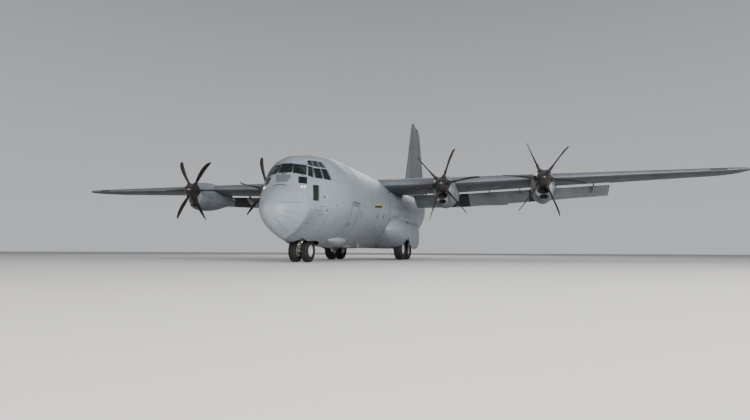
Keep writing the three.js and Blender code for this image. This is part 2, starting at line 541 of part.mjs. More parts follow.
// A flap is a small aerofoil, slid back behind the wing and turned down.
function flap([x0, x1]) {
  const drop = (x) => 0.008 * (x - FLAPS.inner[0]) - 0.04;
  const ring = (x) => {
    const chord = wingRow(x)[1] * FLAPS.share;
    const nose = wingPoint(x, 0.93, -0.03);
    return aerofoil(0.14, [0, 0.03, 0.15, 0.4, 1], 0).map(([back, up]) => {
      const turn = rad(-FLAPS.angle);
      return new THREE.Vector3(nose.x, nose.y + mm(chord * (back * Math.cos(turn) - up * Math.sin(turn))),
        nose.z + mm(chord * (back * Math.sin(turn) + up * Math.cos(turn)) - drop(x)));
    });
  };
  const tracks = [x0 + 0.9, x1 - 0.9].map((x) => {
    return { x, top: wingPoint(x, 0.79, -0.01), foot: ring(x)[6] };
  });
  const body = loft([ring(x0), ring(x1)]);
  return tracks.reduce((sum, { x, top, foot }) => {
    const arm = new THREE.Shape([new THREE.Vector2(top.y, top.z), new THREE.Vector2(top.y, top.z - mm(0.3)),
      new THREE.Vector2(foot.y + mm(0.1), foot.z - mm(0.2)), new THREE.Vector2(foot.y + mm(0.14), foot.z)]);
    const plate = new THREE.ExtrudeGeometry(arm, { depth: mm(0.06), bevelEnabled: false });
    return sum.add(solidOf(plate, new THREE.Matrix4().set(0, 0, 1, mm(x), 1, 0, 0, 0, 0, 1, 0, 0, 0, 0, 0, 1)));
  }, body);
}
const flapLink = loft([FLAPS.inner[1] - 0.2, FLAPS.outer[0] + 0.2].map((x) => {
  const nose = wingPoint(x, 0.93, -0.03);
  return [[0.12, -0.26], [0.22, -0.34], [0.26, -0.28], [0.16, -0.2]].map(([y, z]) =>
    new THREE.Vector3(nose.x, nose.y + mm(y), nose.z + mm(z)));
}));
const fixedHalf = cut(wingForm(0, 16, 2 * SEAM), flapSpace.intersect(wingForm(2, 16)));
const flapPair = cut(join(flap(FLAPS.inner), flap(FLAPS.outer), flapLink), fixedHalf);
add("flap_port", flapPair);
add("flap_starboard", mirrored(flapPair));

// Engines: each nacelle is a shell with a chin intake in front and the exhaust behind
// Sections: station, half width, top and bottom above the shaft
const NACELLE = [
  [9.76, 0.44, 0.44, -1.05],
  [10.05, 0.52, 0.52, -1.15],
  [10.6, 0.6, 0.62, -1.18],
  [11.4, 0.61, 0.66, -1.13],
  [12.3, 0.58, 0.6, -0.98],
  [13.2, 0.5, 0.3, -0.78],
  [14.0, 0.38, 0.1, -0.62],
  [14.45, 0.26, -0.08, -0.5],
];
function nacelleForm(x, z, inset, rows) {
  return loft(rows.map(([s, half, top, bottom]) => {
    const ring = [];
    const [middle, high] = [(top + bottom) / 2, (top - bottom) / 2 - inset];
    for (let i = 0; i < 14; i++) {
      const angle = (i / 14) * 2 * Math.PI;
      const [c, n] = [Math.cos(angle), Math.sin(angle)];
      const power = n < 0 ? 0.68 : 0.85;
      ring.push(new THREE.Vector3(mm(x + Math.sign(c) * Math.abs(c) ** power * (half - inset)), along(s),
        mm(z + middle + Math.sign(n) * Math.abs(n) ** power * high)));
    }
    return ring;
  }));
}
// Room for the wing around an engine, and its mirror image on the other side
function wingRoomAt(x, grow) {
  const room = wingForm(Math.abs(x) - 1, Math.abs(x) + 1, grow);
  return x > 0 ? room : mirrored(room);
}

// A round form about the shaft from pairs of station and radius.
function turned(profile, x, z, sides = 16) {
  const points = profile.map(([s, r]) => new THREE.Vector2(mm(r), mm(s)));
  const place = new THREE.Matrix4().makeTranslation(mm(x), along(0), mm(z));
  return solidOf(new THREE.LatheGeometry(points, sides), place);
}

// Propeller blade sections: radius, chord, thickness share, pitch from the plane of rotation, sweep towards the back
const BLADE = [
  [0.3, 0.17, 0.95, 96, 0],
  [0.52, 0.18, 0.8, 94, 0],
  [0.8, 0.31, 0.22, 91, -0.02],
  [1.15, 0.39, 0.13, 88, -0.03],
  [1.5, 0.39, 0.1, 84, 0.0],
  [1.78, 0.33, 0.08, 81, 0.07],
  [1.96, 0.24, 0.07, 79, 0.15],
  [2.057, 0.1, 0.07, 78, 0.22],
];
function blade(x, z, degrees) {
  const turn = rad(degrees);
  const out = new THREE.Vector3(Math.cos(turn), 0, Math.sin(turn));
  const round = new THREE.Vector3(-Math.sin(turn), 0, Math.cos(turn));
  const aft = new THREE.Vector3(0, 1, 0);
  return loft(BLADE.map(([radius, chord, thick, pitch, sweep]) => {
    const lead = round.clone().multiplyScalar(Math.cos(rad(pitch))).addScaledVector(aft, -Math.sin(rad(pitch)));
    const flat = round.clone().multiplyScalar(Math.sin(rad(pitch))).addScaledVector(aft, Math.cos(rad(pitch)));
    const ring = [];
    for (let i = 0; i < 6; i++) {
      const angle = (i / 6) * 2 * Math.PI;
      ring.push(new THREE.Vector3(mm(x), along(STATION.propeller), mm(z))
        .addScaledVector(out, mm(radius))
        .addScaledVector(lead, mm(Math.cos(angle) * chord / 2 - sweep))
        .addScaledVector(flat, mm(Math.sin(angle) * chord * thick / 2)));
    }
    return ring;
  }));
}
const back = STATION.propeller + 0.24;
const spinnerProfile = [[STATION.propeller - 0.62, 0], [STATION.propeller - 0.58, 0.12],
  [STATION.propeller - 0.46, 0.24], [STATION.propeller - 0.22, 0.37], [STATION.propeller, 0.43],
  [back, PROPELLER.spinnerRadius], [back, 0.06], [back + 0.42, 0.06], [back + 0.42, 0]];
for (const [name, x, z, phase] of ENGINES) {
  const outer = Math.abs(x) > 8;
  const rows = NACELLE.map(([s, ...rest]) => [outer && s > 12 ? 12 + (s - 12) * 0.86 : s, ...rest]);
  const last = rows.length - 1;
  const inner = rows.filter((row, i) => [0, 2, 4, last].includes(i)).map(([s, ...rest], i) =>
    [i === 0 ? s + 0.08 : i === 3 ? s + 0.05 : s, ...rest]);
  const intake = turned([[9.6, 0], [9.6, 0.31], [9.92, 0.31], [9.92, 0]], x, z - 0.66).transform([
    1, 0, 0, 0, 0, 1, 0, 0, 0, 0, 0.6, 0, 0, 0, mm(z - 0.66) * 0.4, 1]);
  const shaftHole = turned([[9.6, 0], [9.6, 0.1], [10.0, 0.1], [10.0, 0]], x, z);
  const shell = cut(nacelleForm(x, z, 0, rows), nacelleForm(x, z, 0.07, inner), intake, shaftHole);
  add(`nacelle_${name}`, cut(shell, wingRoomAt(x, 2 * SEAM)));
  const core = cut(turned([[10.0, 0], [10.0, 0.3], [10.4, 0.36], [11.2, 0.36], [12.0, 0.26], [12.0, 0]], x, z, 14),
    turned([[9.9, 0], [9.9, 0.072], [10.25, 0.072], [10.25, 0]], x, z, 14));
  add(`engine_${name}`, cut(core, wingRoomAt(x, 0.02)), "engine");
  const blades = [...Array(PROPELLER.blades).keys()].map((i) => blade(x, z, phase + i * 60));
  add(`propeller_${name}`, join(turned(spinnerProfile, x, z), ...blades), "blade");
}

// Landing gear fairings. Sections: station, outermost x, bottom, top
const FAIRING = [
  [9.75, 1.95, 1.3, 1.8],
  [10.0, 2.35, 1.05, 2.15],
  [10.5, 2.7, 0.84, 2.42],
  [11.2, 2.88, 0.72, 2.55],
  [12.0, 2.93, 0.68, 2.58],
  [13.6, 2.9, 0.68, 2.58],
  [14.8, 2.86, 0.7, 2.55],
  [15.5, 2.68, 0.82, 2.4],
  [16.1, 2.4, 1.05, 2.15],
  [16.5, 2.12, 1.35, 1.88],
  [16.64, 1.95, 1.5, 1.75],
];
const fairingLoft = (rows) => loft(rows.map(([s, outer, bottom, top]) => {
  const ring = [];
  for (let i = 0; i < 20; i++) {
    const angle = (i / 20) * 2 * Math.PI;
    const [c, n] = [Math.cos(angle), Math.sin(angle)];
    ring.push(new THREE.Vector3(mm(1.6 + Math.sign(c) * Math.abs(c) ** 0.75 * (outer - 1.6)), along(s),
      mm((top + bottom) / 2 + Math.sign(n) * Math.abs(n) ** 0.75 * (top - bottom) / 2)));
  }
  return ring;
}));
const fairingForm = fairingLoft(FAIRING);
const wheelBay = block(1.68, 2.78, 11.55, 14.77, -1, 2.2);
const aftHollow = fairingLoft(FAIRING.slice(6, 9).map(([s, outer, bottom, top], i) =>
  [i === 0 ? 14.6 : s, outer - 0.08, bottom + 0.08, top - 0.08]));
const sponson = cut(fairingForm, wheelBay, aftHollow, rampSpace(0.3, 0.4, 0.1));
const sponsonPort = mainBody(cut(sponson, fuselageForm(8, 20, -2 * SEAM), jumpPrism(GAP)));
add("sponson_port", sponsonPort);
add("sponson_starboard", mirrored(sponsonPort));
const gearDoor = cut(sidePlate([[11.7, 1.5], [11.75, 1.2], [11.95, 0.95], [12.35, 0.74], [12.9, 0.64], [13.5, 0.64],
  [14.05, 0.74], [14.45, 0.95], [14.65, 1.2], [14.7, 1.5]], 2.83, 2.89), fairingForm, fairingForm.translate([0, 0, mm(-2 * SEAM)]));
add("main_gear_door_port", gearDoor);
add("main_gear_door_starboard", mirrored(gearDoor));

// Wheels turn on fixed axles; the legs of one side stand in its bay.
function tyreSolid(wheel, x, s, z) {
  const { radius: r, width: w, rimRadius: q } = wheel;
  const half = w / 2;
  const profile = [[-half * 0.72, q], [-half, r * 0.72], [-half * 0.86, r * 0.91], [-half * 0.42, r],
    [half * 0.42, r], [half * 0.86, r * 0.91], [half, r * 0.72], [half * 0.72, q], [-half * 0.72, q]];
  return wheelTurned(profile, x, s, z, 20);
}
function wheelTurned(profile, x, s, z, sides) {
  const points = profile.map(([y, r]) => new THREE.Vector2(mm(r), mm(y)));
  const place = new THREE.Matrix4().makeTranslation(mm(x), along(s), mm(z)).multiply(
    new THREE.Matrix4().makeRotationZ(-Math.PI / 2));
  return solidOf(new THREE.LatheGeometry(points, sides), place);
}
function rimSolid(wheel, x, s, z, bore, dish) {
  const { width, rimRadius } = wheel;
  const [q, half] = [rimRadius - SEAM, width * 0.36];
  return wheelTurned([[-half, bore], [-half, q], [half, q], [half, q * 0.9], [half - dish, q * 0.75],
    [half - dish, q * 0.5], [half, q * 0.4], [half, bore], [-half, bore]], x, s, z, 20);
}
const AXLE = 0.07;
for (const [side, sign] of [["port", 1], ["starboard", -1]]) {
  const legs = [];
  for (const [place, s] of [["front", STATION.mainFrontAxle], ["rear", STATION.mainRearAxle]]) {
    const z = MAIN_WHEEL.radius;
    const tyre = tyreSolid(MAIN_WHEEL, MAIN_WHEEL.x, s, z);
    const rim = rimSolid(MAIN_WHEEL, MAIN_WHEEL.x, s, z, AXLE + GAP, 0.07);
    add(`main_tyre_${side}_${place}`, sign > 0 ? tyre : mirrored(tyre), "tyre");
    add(`main_rim_${side}_${place}`, sign > 0 ? rim : mirrored(rim), "white");
    const legX = 1.81;
    legs.push(bar([legX, s, z - 0.1], [legX, s, 1.2], 0.06), bar([legX, s, 0.95], [legX, s, 1.5], 0.085),
      bar([legX, s, 1.54], [2.35, s, 1.54], 0.07), bar([2.35, s, 1.47], [2.35, s, 2.2 - SEAM], 0.08),
      bar([legX, s, z], [2.33, s, z], AXLE));
  }
  const [s0, s1] = [STATION.mainFrontAxle, STATION.mainRearAxle];
  const links = [bar([2.35, s0, 2.05], [2.35, s1, 2.05], 0.05, 8), bar([1.81, s0, 0.72], [1.81, s1, 0.72], 0.045, 8)];
  const set = join(...legs, ...links);
  add(`main_legs_${side}`, sign > 0 ? set : mirrored(set), "steel");
}

// Nose gear: a fixed cylinder, the leg that turns in it, and a pair of wheels on one axle
const noseAxle = { s: STATION.noseAxle, z: NOSE_WHEEL.radius };
const steerTop = 1.62;
const cylinder = cut(bar([0, noseAxle.s, 1.02], [0, noseAxle.s, 1.93], 0.12, 16),
  bar([0, noseAxle.s, 0.9], [0, noseAxle.s, steerTop + 0.05], 0.075 + GAP, 20));
const noseBrace = bar([0, noseAxle.s + 0.1, 1.3], [0, 3.86, 1.72], 0.04, 10);
const noseFrame = join(cylinder, noseBrace, block(-0.4, 0.4, 3.82, 3.9, 1.66, 1.78));
add("nose_leg_cylinder", noseFrame, "steel");
const noseLeg = cut(join(bar([0, noseAxle.s, noseAxle.z], [0, noseAxle.s, steerTop], 0.075, 20),
  bar([-0.1, noseAxle.s, noseAxle.z], [0.1, noseAxle.s, noseAxle.z], 0.11, 20)),
  bar([-0.2, noseAxle.s, noseAxle.z], [0.2, noseAxle.s, noseAxle.z], 0.05 + GAP, 20));
add("nose_leg", noseLeg, "steel");
const noseRim = rimSolid(NOSE_WHEEL, NOSE_WHEEL.x, noseAxle.s, noseAxle.z, 0.04, 0.05);
const noseHubs = join(bar([-0.38, noseAxle.s, noseAxle.z], [0.38, noseAxle.s, noseAxle.z], 0.05, 20),
  noseRim, mirrored(noseRim));
add("nose_hubs", noseHubs, "white");
const noseTyre = tyreSolid(NOSE_WHEEL, NOSE_WHEEL.x, noseAxle.s, noseAxle.z);
add("nose_tyre_port", noseTyre, "tyre");
add("nose_tyre_starboard", mirrored(noseTyre), "tyre");

export default plane;
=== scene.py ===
import math

import bmesh
import bpy
from mathutils import Matrix, Vector


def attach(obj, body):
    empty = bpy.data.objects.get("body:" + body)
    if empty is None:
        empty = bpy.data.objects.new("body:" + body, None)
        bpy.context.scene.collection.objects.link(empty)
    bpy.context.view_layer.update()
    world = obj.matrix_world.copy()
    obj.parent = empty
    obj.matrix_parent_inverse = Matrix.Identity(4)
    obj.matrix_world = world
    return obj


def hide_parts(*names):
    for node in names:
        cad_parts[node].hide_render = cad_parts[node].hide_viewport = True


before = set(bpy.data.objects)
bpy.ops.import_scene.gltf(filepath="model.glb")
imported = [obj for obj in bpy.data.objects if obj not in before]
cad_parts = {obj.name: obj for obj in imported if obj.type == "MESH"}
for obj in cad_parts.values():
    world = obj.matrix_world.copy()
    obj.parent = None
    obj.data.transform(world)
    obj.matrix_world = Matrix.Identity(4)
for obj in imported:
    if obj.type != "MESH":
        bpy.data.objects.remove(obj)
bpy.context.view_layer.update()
print("frame loaded:", len(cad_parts), "nodes")

# Lengths are metres of the full-size plane; a station is a distance aft of the nose tip.
scale = 0.5
planeLength = 29.79
sides = (("port", 1), ("starboard", -1))


def m(value):
    return value * scale


def spot(x, station, z):
    return Vector((m(x), m(station - planeLength / 2), m(z)))


# Node helpers

# Sets a socket, or links it when the value is another node's output.
def feed(socket, value):
    if isinstance(value, bpy.types.NodeSocket):
        socket.id_data.links.new(value, socket)
    else:
        socket.default_value = value


def addNode(tree, kind, values=None, **settings):
    node = tree.nodes.new(kind)
    for key, value in settings.items():
        setattr(node, key, value)
    for key, value in (values or {}).items():
        feed(node.inputs[key], value)
    return node


def newGroup(name, inputs, outputs):
    tree = bpy.data.node_groups.new(name, "ShaderNodeTree")
    for label, kind, value in inputs:
        socket = tree.interface.new_socket(label, in_out="INPUT", socket_type=kind)
        if value is not None:
            socket.default_value = value
    for label in outputs:
        tree.interface.new_socket(label, in_out="OUTPUT", socket_type="NodeSocketFloat")
    return tree, tree.nodes.new("NodeGroupInput").outputs, tree.nodes.new("NodeGroupOutput").inputs


def calc(tree, operation, *values, clamp=False):
    return addNode(tree, "ShaderNodeMath", dict(enumerate(values)), operation=operation, use_clamp=clamp).outputs[0]


def greatest(tree, a, b, c):
    return calc(tree, "MAXIMUM", calc(tree, "MAXIMUM", a, b), c)


def blendColour(tree, mask, a, b):
    a, b = ((*value, 1) if isinstance(value, tuple) else value for value in (a, b))
    return addNode(tree, "ShaderNodeMix", {0: mask, 6: a, 7: b}, data_type="RGBA").outputs[2]


def fade(tree, value, low, high, toLow=0.0, toHigh=1.0):
    limits = {0: value, 1: low, 2: high, 3: toLow, 4: toHigh}
    return addNode(tree, "ShaderNodeMapRange", limits, interpolation_type="SMOOTHSTEP").outputs[0]


def noise(tree, vector, size, detail, rough):
    values = {"Vector": vector, "Scale": size, "Detail": detail, "Roughness": rough}
    return addNode(tree, "ShaderNodeTexNoise", values).outputs["Fac"]


def stretched(tree, vector, scaling):
    return addNode(tree, "ShaderNodeMapping", {"Vector": vector, "Scale": scaling}).outputs["Vector"]


def axesOf(tree, vector):
    return addNode(tree, "ShaderNodeSeparateXYZ", {0: vector}).outputs


# Wear shared by all the finishes: cloudy tone, run-off streaks, grime and a fine grain, and painted shade that
# darkens surfaces facing down
def makeWearAndShade():
    tree, ins, outs = newGroup("surfaceWearAndShade", [
        ("Vector", "NodeSocketVector", None), ("Size", "NodeSocketFloat", 1.0), ("Run", "NodeSocketFloat", 1.0)],
        ["Tone", "Streak", "Grime", "Grain", "UnderShade"])
    scaled = addNode(tree, "ShaderNodeVectorMath", {0: ins["Vector"], "Scale": ins["Size"]}, operation="SCALE")
    vector = scaled.outputs[0]
    feed(outs["Tone"], noise(tree, vector, 0.9, 5, 0.6))
    runs = noise(tree, stretched(tree, vector, (9, 9, 0.7)), 1.6, 4, 0.65)
    feed(outs["Streak"], calc(tree, "MULTIPLY", fade(tree, runs, 0.52, 0.78), ins["Run"], clamp=True))
    feed(outs["Grime"], fade(tree, noise(tree, vector, 2.6, 8, 0.7), 0.5, 0.72))
    feed(outs["Grain"], noise(tree, vector, 90, 2, 0.5))
    upward = axesOf(tree, tree.nodes.new("ShaderNodeNewGeometry").outputs["Normal"])[2]
    patches = noise(tree, stretched(tree, vector, (2, 0.4, 2)), 1.3, 4, 0.6)
    feed(outs["UnderShade"], fade(tree, calc(tree, "MULTIPLY_ADD", patches, 0.3, upward), -0.5, 0.2, 1.0, 0.0))
    return tree


# Seams: thin lines where skin panels meet, at a pitch along each axis, with rivet rows beside them
rivet = {"inset": 0.014, "radius": 0.0028, "halfPitch": 0.0125}


def makeSeams():
    tree, ins, outs = newGroup("panelSeams", [
        ("Vector", "NodeSocketVector", None), ("Pitch", "NodeSocketVector", (1, 1, 1)),
        ("Shift", "NodeSocketVector", (0, 0, 0)), ("Width", "NodeSocketFloat", 0.004)], ["Seam", "Rivets"])
    at, pitch, shift = (axesOf(tree, ins[key]) for key in ("Vector", "Pitch", "Shift"))
    lines, rows, dots = [], [], []
    for axis in range(3):
        moved = calc(tree, "SUBTRACT", at[axis], shift[axis])
        away = calc(tree, "PINGPONG", moved, calc(tree, "MULTIPLY", pitch[axis], 0.5))
        lines.append(calc(tree, "SUBTRACT", 1, calc(tree, "DIVIDE", away, ins["Width"]), clamp=True))
        beside = calc(tree, "ABSOLUTE", calc(tree, "SUBTRACT", away, rivet["inset"]))
        rows.append(calc(tree, "LESS_THAN", beside, rivet["radius"]))
        dots.append(calc(tree, "LESS_THAN", calc(tree, "PINGPONG", at[axis], rivet["halfPitch"]), rivet["radius"]))
    feed(outs["Seam"], greatest(tree, *lines))
    rivets = [calc(tree, "MULTIPLY", rows[a], dots[b]) for a, b in ((0, 1), (1, 2), (2, 1))]
    feed(outs["Rivets"], greatest(tree, *rivets))
    return tree


wearAndShadeGroup = makeWearAndShade()
seamGroup = makeSeams()


# One painted, rubber or metal finish. pitch gives its panel seams; far makes an axis unseamed.
far = 900.0
undersideShadeColour = (0.035, 0.038, 0.045)


def finish(name, base, worn, rough=0.5, metal=0.0, size=1.0, run=1.0, bump=0.15, dirt=(0.03, 0.028, 0.026),
           grime=0.25, streaks=0.3, undersideShade=0.0, pitch=None, shift=(0, 0, 0), seam=0.004, coat=0.0, emission=None):
    material = bpy.data.materials.new(name)
    material.use_nodes = True
    tree = material.node_tree
    tree.nodes.clear()
    place = tree.nodes.new("ShaderNodeTexCoord").outputs["Object"]
    wearAndShade = addNode(tree, "ShaderNodeGroup", {"Vector": place, "Size": size, "Run": run}, node_tree=wearAndShadeGroup).outputs
    tone = fade(tree, wearAndShade["Tone"], 0.3, 0.7)
    layers = [(wearAndShade["Streak"], streaks, dirt), (wearAndShade["Grime"], grime, dirt)]
    # Painted shade: undersideShade darkens faces that point down, most under the wing
    if undersideShade:
        layers.append((wearAndShade["UnderShade"], undersideShade, undersideShadeColour))
    height = calc(tree, "MULTIPLY", wearAndShade["Grain"], 0.25)
    if pitch:
        values = {"Vector": place, "Pitch": pitch, "Shift": shift, "Width": seam}
        seams = addNode(tree, "ShaderNodeGroup", values, node_tree=seamGroup).outputs
        layers += [(seams["Seam"], 0.55, dirt), (seams["Rivets"], 0.3, dirt)]
        height = calc(tree, "SUBTRACT", height, seams["Seam"])
        height = calc(tree, "ADD", height, calc(tree, "MULTIPLY", seams["Rivets"], 0.35))
    colour = blendColour(tree, tone, base, worn)
    for mask, strength, tint in layers:
        colour = blendColour(tree, calc(tree, "MULTIPLY", mask, strength), colour, tint)
    gloss = calc(tree, "MULTIPLY_ADD", wearAndShade["Grime"], 0.18, rough)
    relief = addNode(tree, "ShaderNodeBump", {"Strength": bump, "Distance": 0.004, "Height": height})
    shader = addNode(tree, "ShaderNodeBsdfPrincipled", {
        "Base Color": colour, "Metallic": metal, "Coat Weight": coat, "Coat Roughness": 0.25,
        "Roughness": calc(tree, "ADD", gloss, calc(tree, "MULTIPLY", tone, 0.07), clamp=True),
        "Normal": relief.outputs[0]})
    if emission:
        feed(shader.inputs["Emission Color"], (*emission[0], 1))
        feed(shader.inputs["Emission Strength"], emission[1])
    addNode(tree, "ShaderNodeOutputMaterial", {0: shader.outputs[0]})
    return material


def clearGlass(name, tint, alpha):
    material = bpy.data.materials.new(name)
    material.use_nodes = True
    tree = material.node_tree
    place = tree.nodes.new("ShaderNodeTexCoord").outputs["Object"]
    smear = fade(tree, noise(tree, stretched(tree, place, (3, 3, 8)), 5, 5, 0.6), 0.45, 0.8)
    values = {"Base Color": blendColour(tree, smear, tint, tuple(t * 1.5 + 0.01 for t in tint)), "Alpha": alpha,
              "Roughness": calc(tree, "MULTIPLY_ADD", smear, 0.12, 0.04), "Coat Weight": 0.25, "Coat Roughness": 0.03}
    for key, value in values.items():
        feed(tree.nodes["Principled BSDF"].inputs[key], value)
    return material


skyGrey = (0.245, 0.285, 0.325)
paints = {
    "fuselage": finish("fuselagePaint", skyGrey, (0.215, 0.25, 0.29), 0.4, size=1.1, streaks=0.14, grime=0.1,
                       undersideShade=0.35, pitch=(far, 0.762, 0.48), shift=(0.2, 0.13, 0.31), seam=0.0035, coat=0.12),
    "radome": finish("radomePaint", (0.265, 0.305, 0.345), (0.235, 0.275, 0.315), 0.38, size=1.4, streaks=0.1,
                     grime=0.08, coat=0.15),
    # The wing's grey is darker than the fuselage's grey: painted shade on the wing, ailerons, tailplane and elevators
    "wing": finish("wingPaintAndShade", (0.165, 0.188, 0.212), (0.135, 0.153, 0.172), 0.48, size=0.9, streaks=0.12,
                   grime=0.3, undersideShade=0.85, pitch=(0.92, 0.61, far), shift=(0.3, 0.22, 0), seam=0.0035),
    "flap": finish("flapPaint", (0.23, 0.26, 0.285), (0.19, 0.215, 0.235), 0.5, size=1.0, grime=0.25,
                   pitch=(0.88, far, far), shift=(0.2, 0, 0)),
    "tail": finish("tailPaint", (0.165, 0.185, 0.205), (0.14, 0.155, 0.172), 0.5, size=1.0, grime=0.2,
                   pitch=(far, 0.7, 0.66), shift=(0, 0.2, 0.1)),
    "nacelle": finish("nacellePaint", (0.215, 0.245, 0.275), (0.18, 0.2, 0.225), 0.45, size=1.6, grime=0.35,
                      undersideShade=0.5, pitch=(far, 0.46, far), shift=(0, 0.06, 0), seam=0.003),
    "sponson": finish("sponsonPaint", (0.225, 0.262, 0.3), (0.19, 0.222, 0.258), 0.45, size=1.2, streaks=0.22,
                      grime=0.2, undersideShade=0.4, pitch=(far, 0.66, far), shift=(0, 0.1, 0)),
    "blade": finish("bladeComposite", (0.009, 0.007, 0.0065), (0.016, 0.012, 0.011), 0.48, size=4, grime=0.15, run=0,
                    dirt=(0.03, 0.022, 0.018)),
    "boot": finish("bladeBoot", (0.011, 0.01, 0.01), (0.017, 0.015, 0.015), 0.7, size=6, run=0, grime=0.2),
    "spinner": finish("spinnerPaint", (0.012, 0.0095, 0.0095), (0.022, 0.016, 0.015), 0.3, size=5, run=0, grime=0.15,
                      dirt=(0.035, 0.026, 0.02), coat=0.3),
    "bareMetal": finish("bareMetal", (0.62, 0.62, 0.61), (0.48, 0.48, 0.48), 0.3, metal=1.0, size=3, grime=0.35),
    "lip": finish("intakeLip", (0.26, 0.25, 0.25), (0.16, 0.15, 0.15), 0.4, metal=0.8, size=6, grime=0.5),
    "darkBand": finish("flapDarkBand", (0.012, 0.012, 0.013), (0.025, 0.024, 0.025), 0.7, size=4, grime=0.3),
    "duct": finish("ductLining", (0.035, 0.034, 0.034), (0.06, 0.055, 0.052), 0.6, metal=0.3, size=4, grime=0.5),
    "exhaust": finish("exhaustMetal", (0.17, 0.13, 0.105), (0.09, 0.075, 0.07), 0.42, metal=0.9, size=5, grime=0.5),
    "rubber": finish("tyreRubber", (0.0045, 0.0045, 0.0048), (0.009, 0.0085, 0.008), 0.75, size=5, run=0, grime=0.2,
                     dirt=(0.03, 0.027, 0.024), bump=0.3),
    "hubWhite": finish("wheelPaint", (0.56, 0.55, 0.52), (0.44, 0.42, 0.39), 0.45, size=4, grime=0.4),
    "strut": finish("strutPaint", (0.5, 0.5, 0.49), (0.4, 0.4, 0.39), 0.42, metal=0.2, size=5, grime=0.45),
    "chrome": finish("oleoChrome", (0.78, 0.78, 0.78), (0.66, 0.66, 0.66), 0.14, metal=1.0, size=5, grime=0.2),
    "seal": finish("rubberSeal", (0.022, 0.023, 0.025), (0.035, 0.036, 0.038), 0.65, size=6, run=0, grime=0.2),
    "bay": finish("bayPaint", (0.16, 0.17, 0.165), (0.11, 0.115, 0.11), 0.55, size=3, grime=0.5, streaks=0.4),
    "deck": finish("deckPaint", (0.05, 0.055, 0.058), (0.075, 0.08, 0.082), 0.65, size=4, grime=0.4),
    "core": finish("engineMetal", (0.22, 0.2, 0.18), (0.13, 0.12, 0.11), 0.45, metal=0.8, size=6, grime=0.6),
    "yellow": finish("markYellow", (0.55, 0.4, 0.04), (0.45, 0.32, 0.05), 0.5, size=6, grime=0.3),
    "markDark": finish("markDark", (0.05, 0.055, 0.065), (0.075, 0.08, 0.09), 0.5, size=6, grime=0.2),
    "lampLens": finish("lampLens", (0.9, 0.86, 0.74), (0.8, 0.76, 0.66), 0.15, size=6, grime=0.1, coat=1.0,
                       emission=((1.0, 0.88, 0.66), 1.6)),
    "redLens": finish("redLens", (0.45, 0.02, 0.015), (0.32, 0.015, 0.012), 0.15, size=6, grime=0.1, coat=1.0),
    "greenLens": finish("greenLens", (0.02, 0.32, 0.12), (0.015, 0.22, 0.09), 0.15, size=6, grime=0.1, coat=1.0),
    # Painted shade for the skin below the middle windscreen
    "screenShade": finish("screenShadePaint", (0.105, 0.128, 0.15), (0.09, 0.11, 0.13), 0.6, size=3, grime=0.15),
    "pane": clearGlass("cockpitPane", (0.006, 0.011, 0.011), alpha=0.9),
    "greenPane": clearGlass("sidePane", (0.007, 0.012, 0.008), alpha=0.95),
}
print("materials:", len(paints))


# Mesh helpers

def dress(name, bm, material, smooth=35, normals=True):
    if normals:
        bmesh.ops.recalc_face_normals(bm, faces=bm.faces[:])
    mesh = bpy.data.meshes.new(name)
    bm.to_mesh(mesh)
    bm.free()
    for polygon in mesh.polygons:
        polygon.use_smooth = smooth > 0
    if 0 < smooth < 180:
        mesh.set_sharp_from_angle(angle=math.radians(smooth))
    piece = bpy.data.objects.new(name, mesh)
    bpy.context.scene.collection.objects.link(piece)
    mesh.materials.append(paints[material])
    return piece


def settle(piece, body, replaces=()):
    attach(piece, body)
    if replaces:
        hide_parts(*replaces)
    return piece


def addPiece(name, bm, paint, smooth, body="airframe", replaces=()):
    return settle(dress(name, bm, paint, smooth), body, replaces)


# A piece on the port side and its mirror image; {} in the names stands for the side.
def addPair(name, piece, body="airframe", slot="grey", *replaces):
    other = mirrorOf(piece, f"{name}_starboard")
    for side, leaf in (("port", piece), ("starboard", other)):
        settle(leaf, body.format(side), [node.format(side) for node in replaces])
    return other


def bend(value, power):
    return math.copysign(abs(value) ** power, value)


# A skin through sections. Each section is a function from an angle to a point; the first ring is extruded on.
def loft(bm, sections, count=64, closed=False):
    turn = bm.verts.layers.float.get("turn") or bm.verts.layers.float.new("turn")
    ring = bmesh.ops.create_circle(bm, segments=count, radius=1.0)["verts"]
    firstEdges = list({e for v in ring for e in v.link_edges})
    for v in ring:
        v[turn] = math.atan2(v.co.y, v.co.x) % (2 * math.pi)
        v.co = sections[0](v[turn])
    edges = firstEdges
    for section in sections[1:]:
        made = bmesh.ops.extrude_edge_only(bm, edges=edges)["geom"]
        fresh = {g for g in made if isinstance(g, bmesh.types.BMVert)}
        for v in fresh:
            v.co = section(v[turn])
        edges = [g for g in made if isinstance(g, bmesh.types.BMEdge) and all(v in fresh for v in g.verts)]
    if closed:
        bmesh.ops.remove_doubles(bm, verts=bm.verts[:], dist=1e-6)
    else:
        bmesh.ops.contextual_create(bm, geom=firstEdges)
        bmesh.ops.contextual_create(bm, geom=edges)


def rod(bm, a, b, radius, endRadius=None, count=20):
    line = b - a
    turn = line.to_track_quat("Z", "Y").to_matrix().to_4x4()
    return bmesh.ops.create_cone(bm, cap_ends=True, segments=count, radius1=radius,
                                 radius2=radius if endRadius is None else endRadius, depth=line.length,
                                 matrix=Matrix.Translation((a + b) / 2) @ turn)["verts"]


def brick(bm, low, high, round=0.0):
    place = Matrix.Translation((low + high) / 2) @ Matrix.Diagonal((*(high - low), 1))
    made = bmesh.ops.create_cube(bm, size=1.0, matrix=place)["verts"]
    if round:
        edges = list({e for v in made for e in v.link_edges})
        bmesh.ops.bevel(bm, geom=edges, offset=round, offset_type="OFFSET", segments=2, profile=0.5,
                        affect="EDGES", clamp_overlap=True, material=-1)


def ball(bm, centre, radius, squeeze=(1, 1, 1), count=20):
    bmesh.ops.create_uvsphere(bm, u_segments=count, v_segments=count // 2, radius=radius,
                              matrix=Matrix.Translation(centre) @ Matrix.Diagonal((*squeeze, 1)))


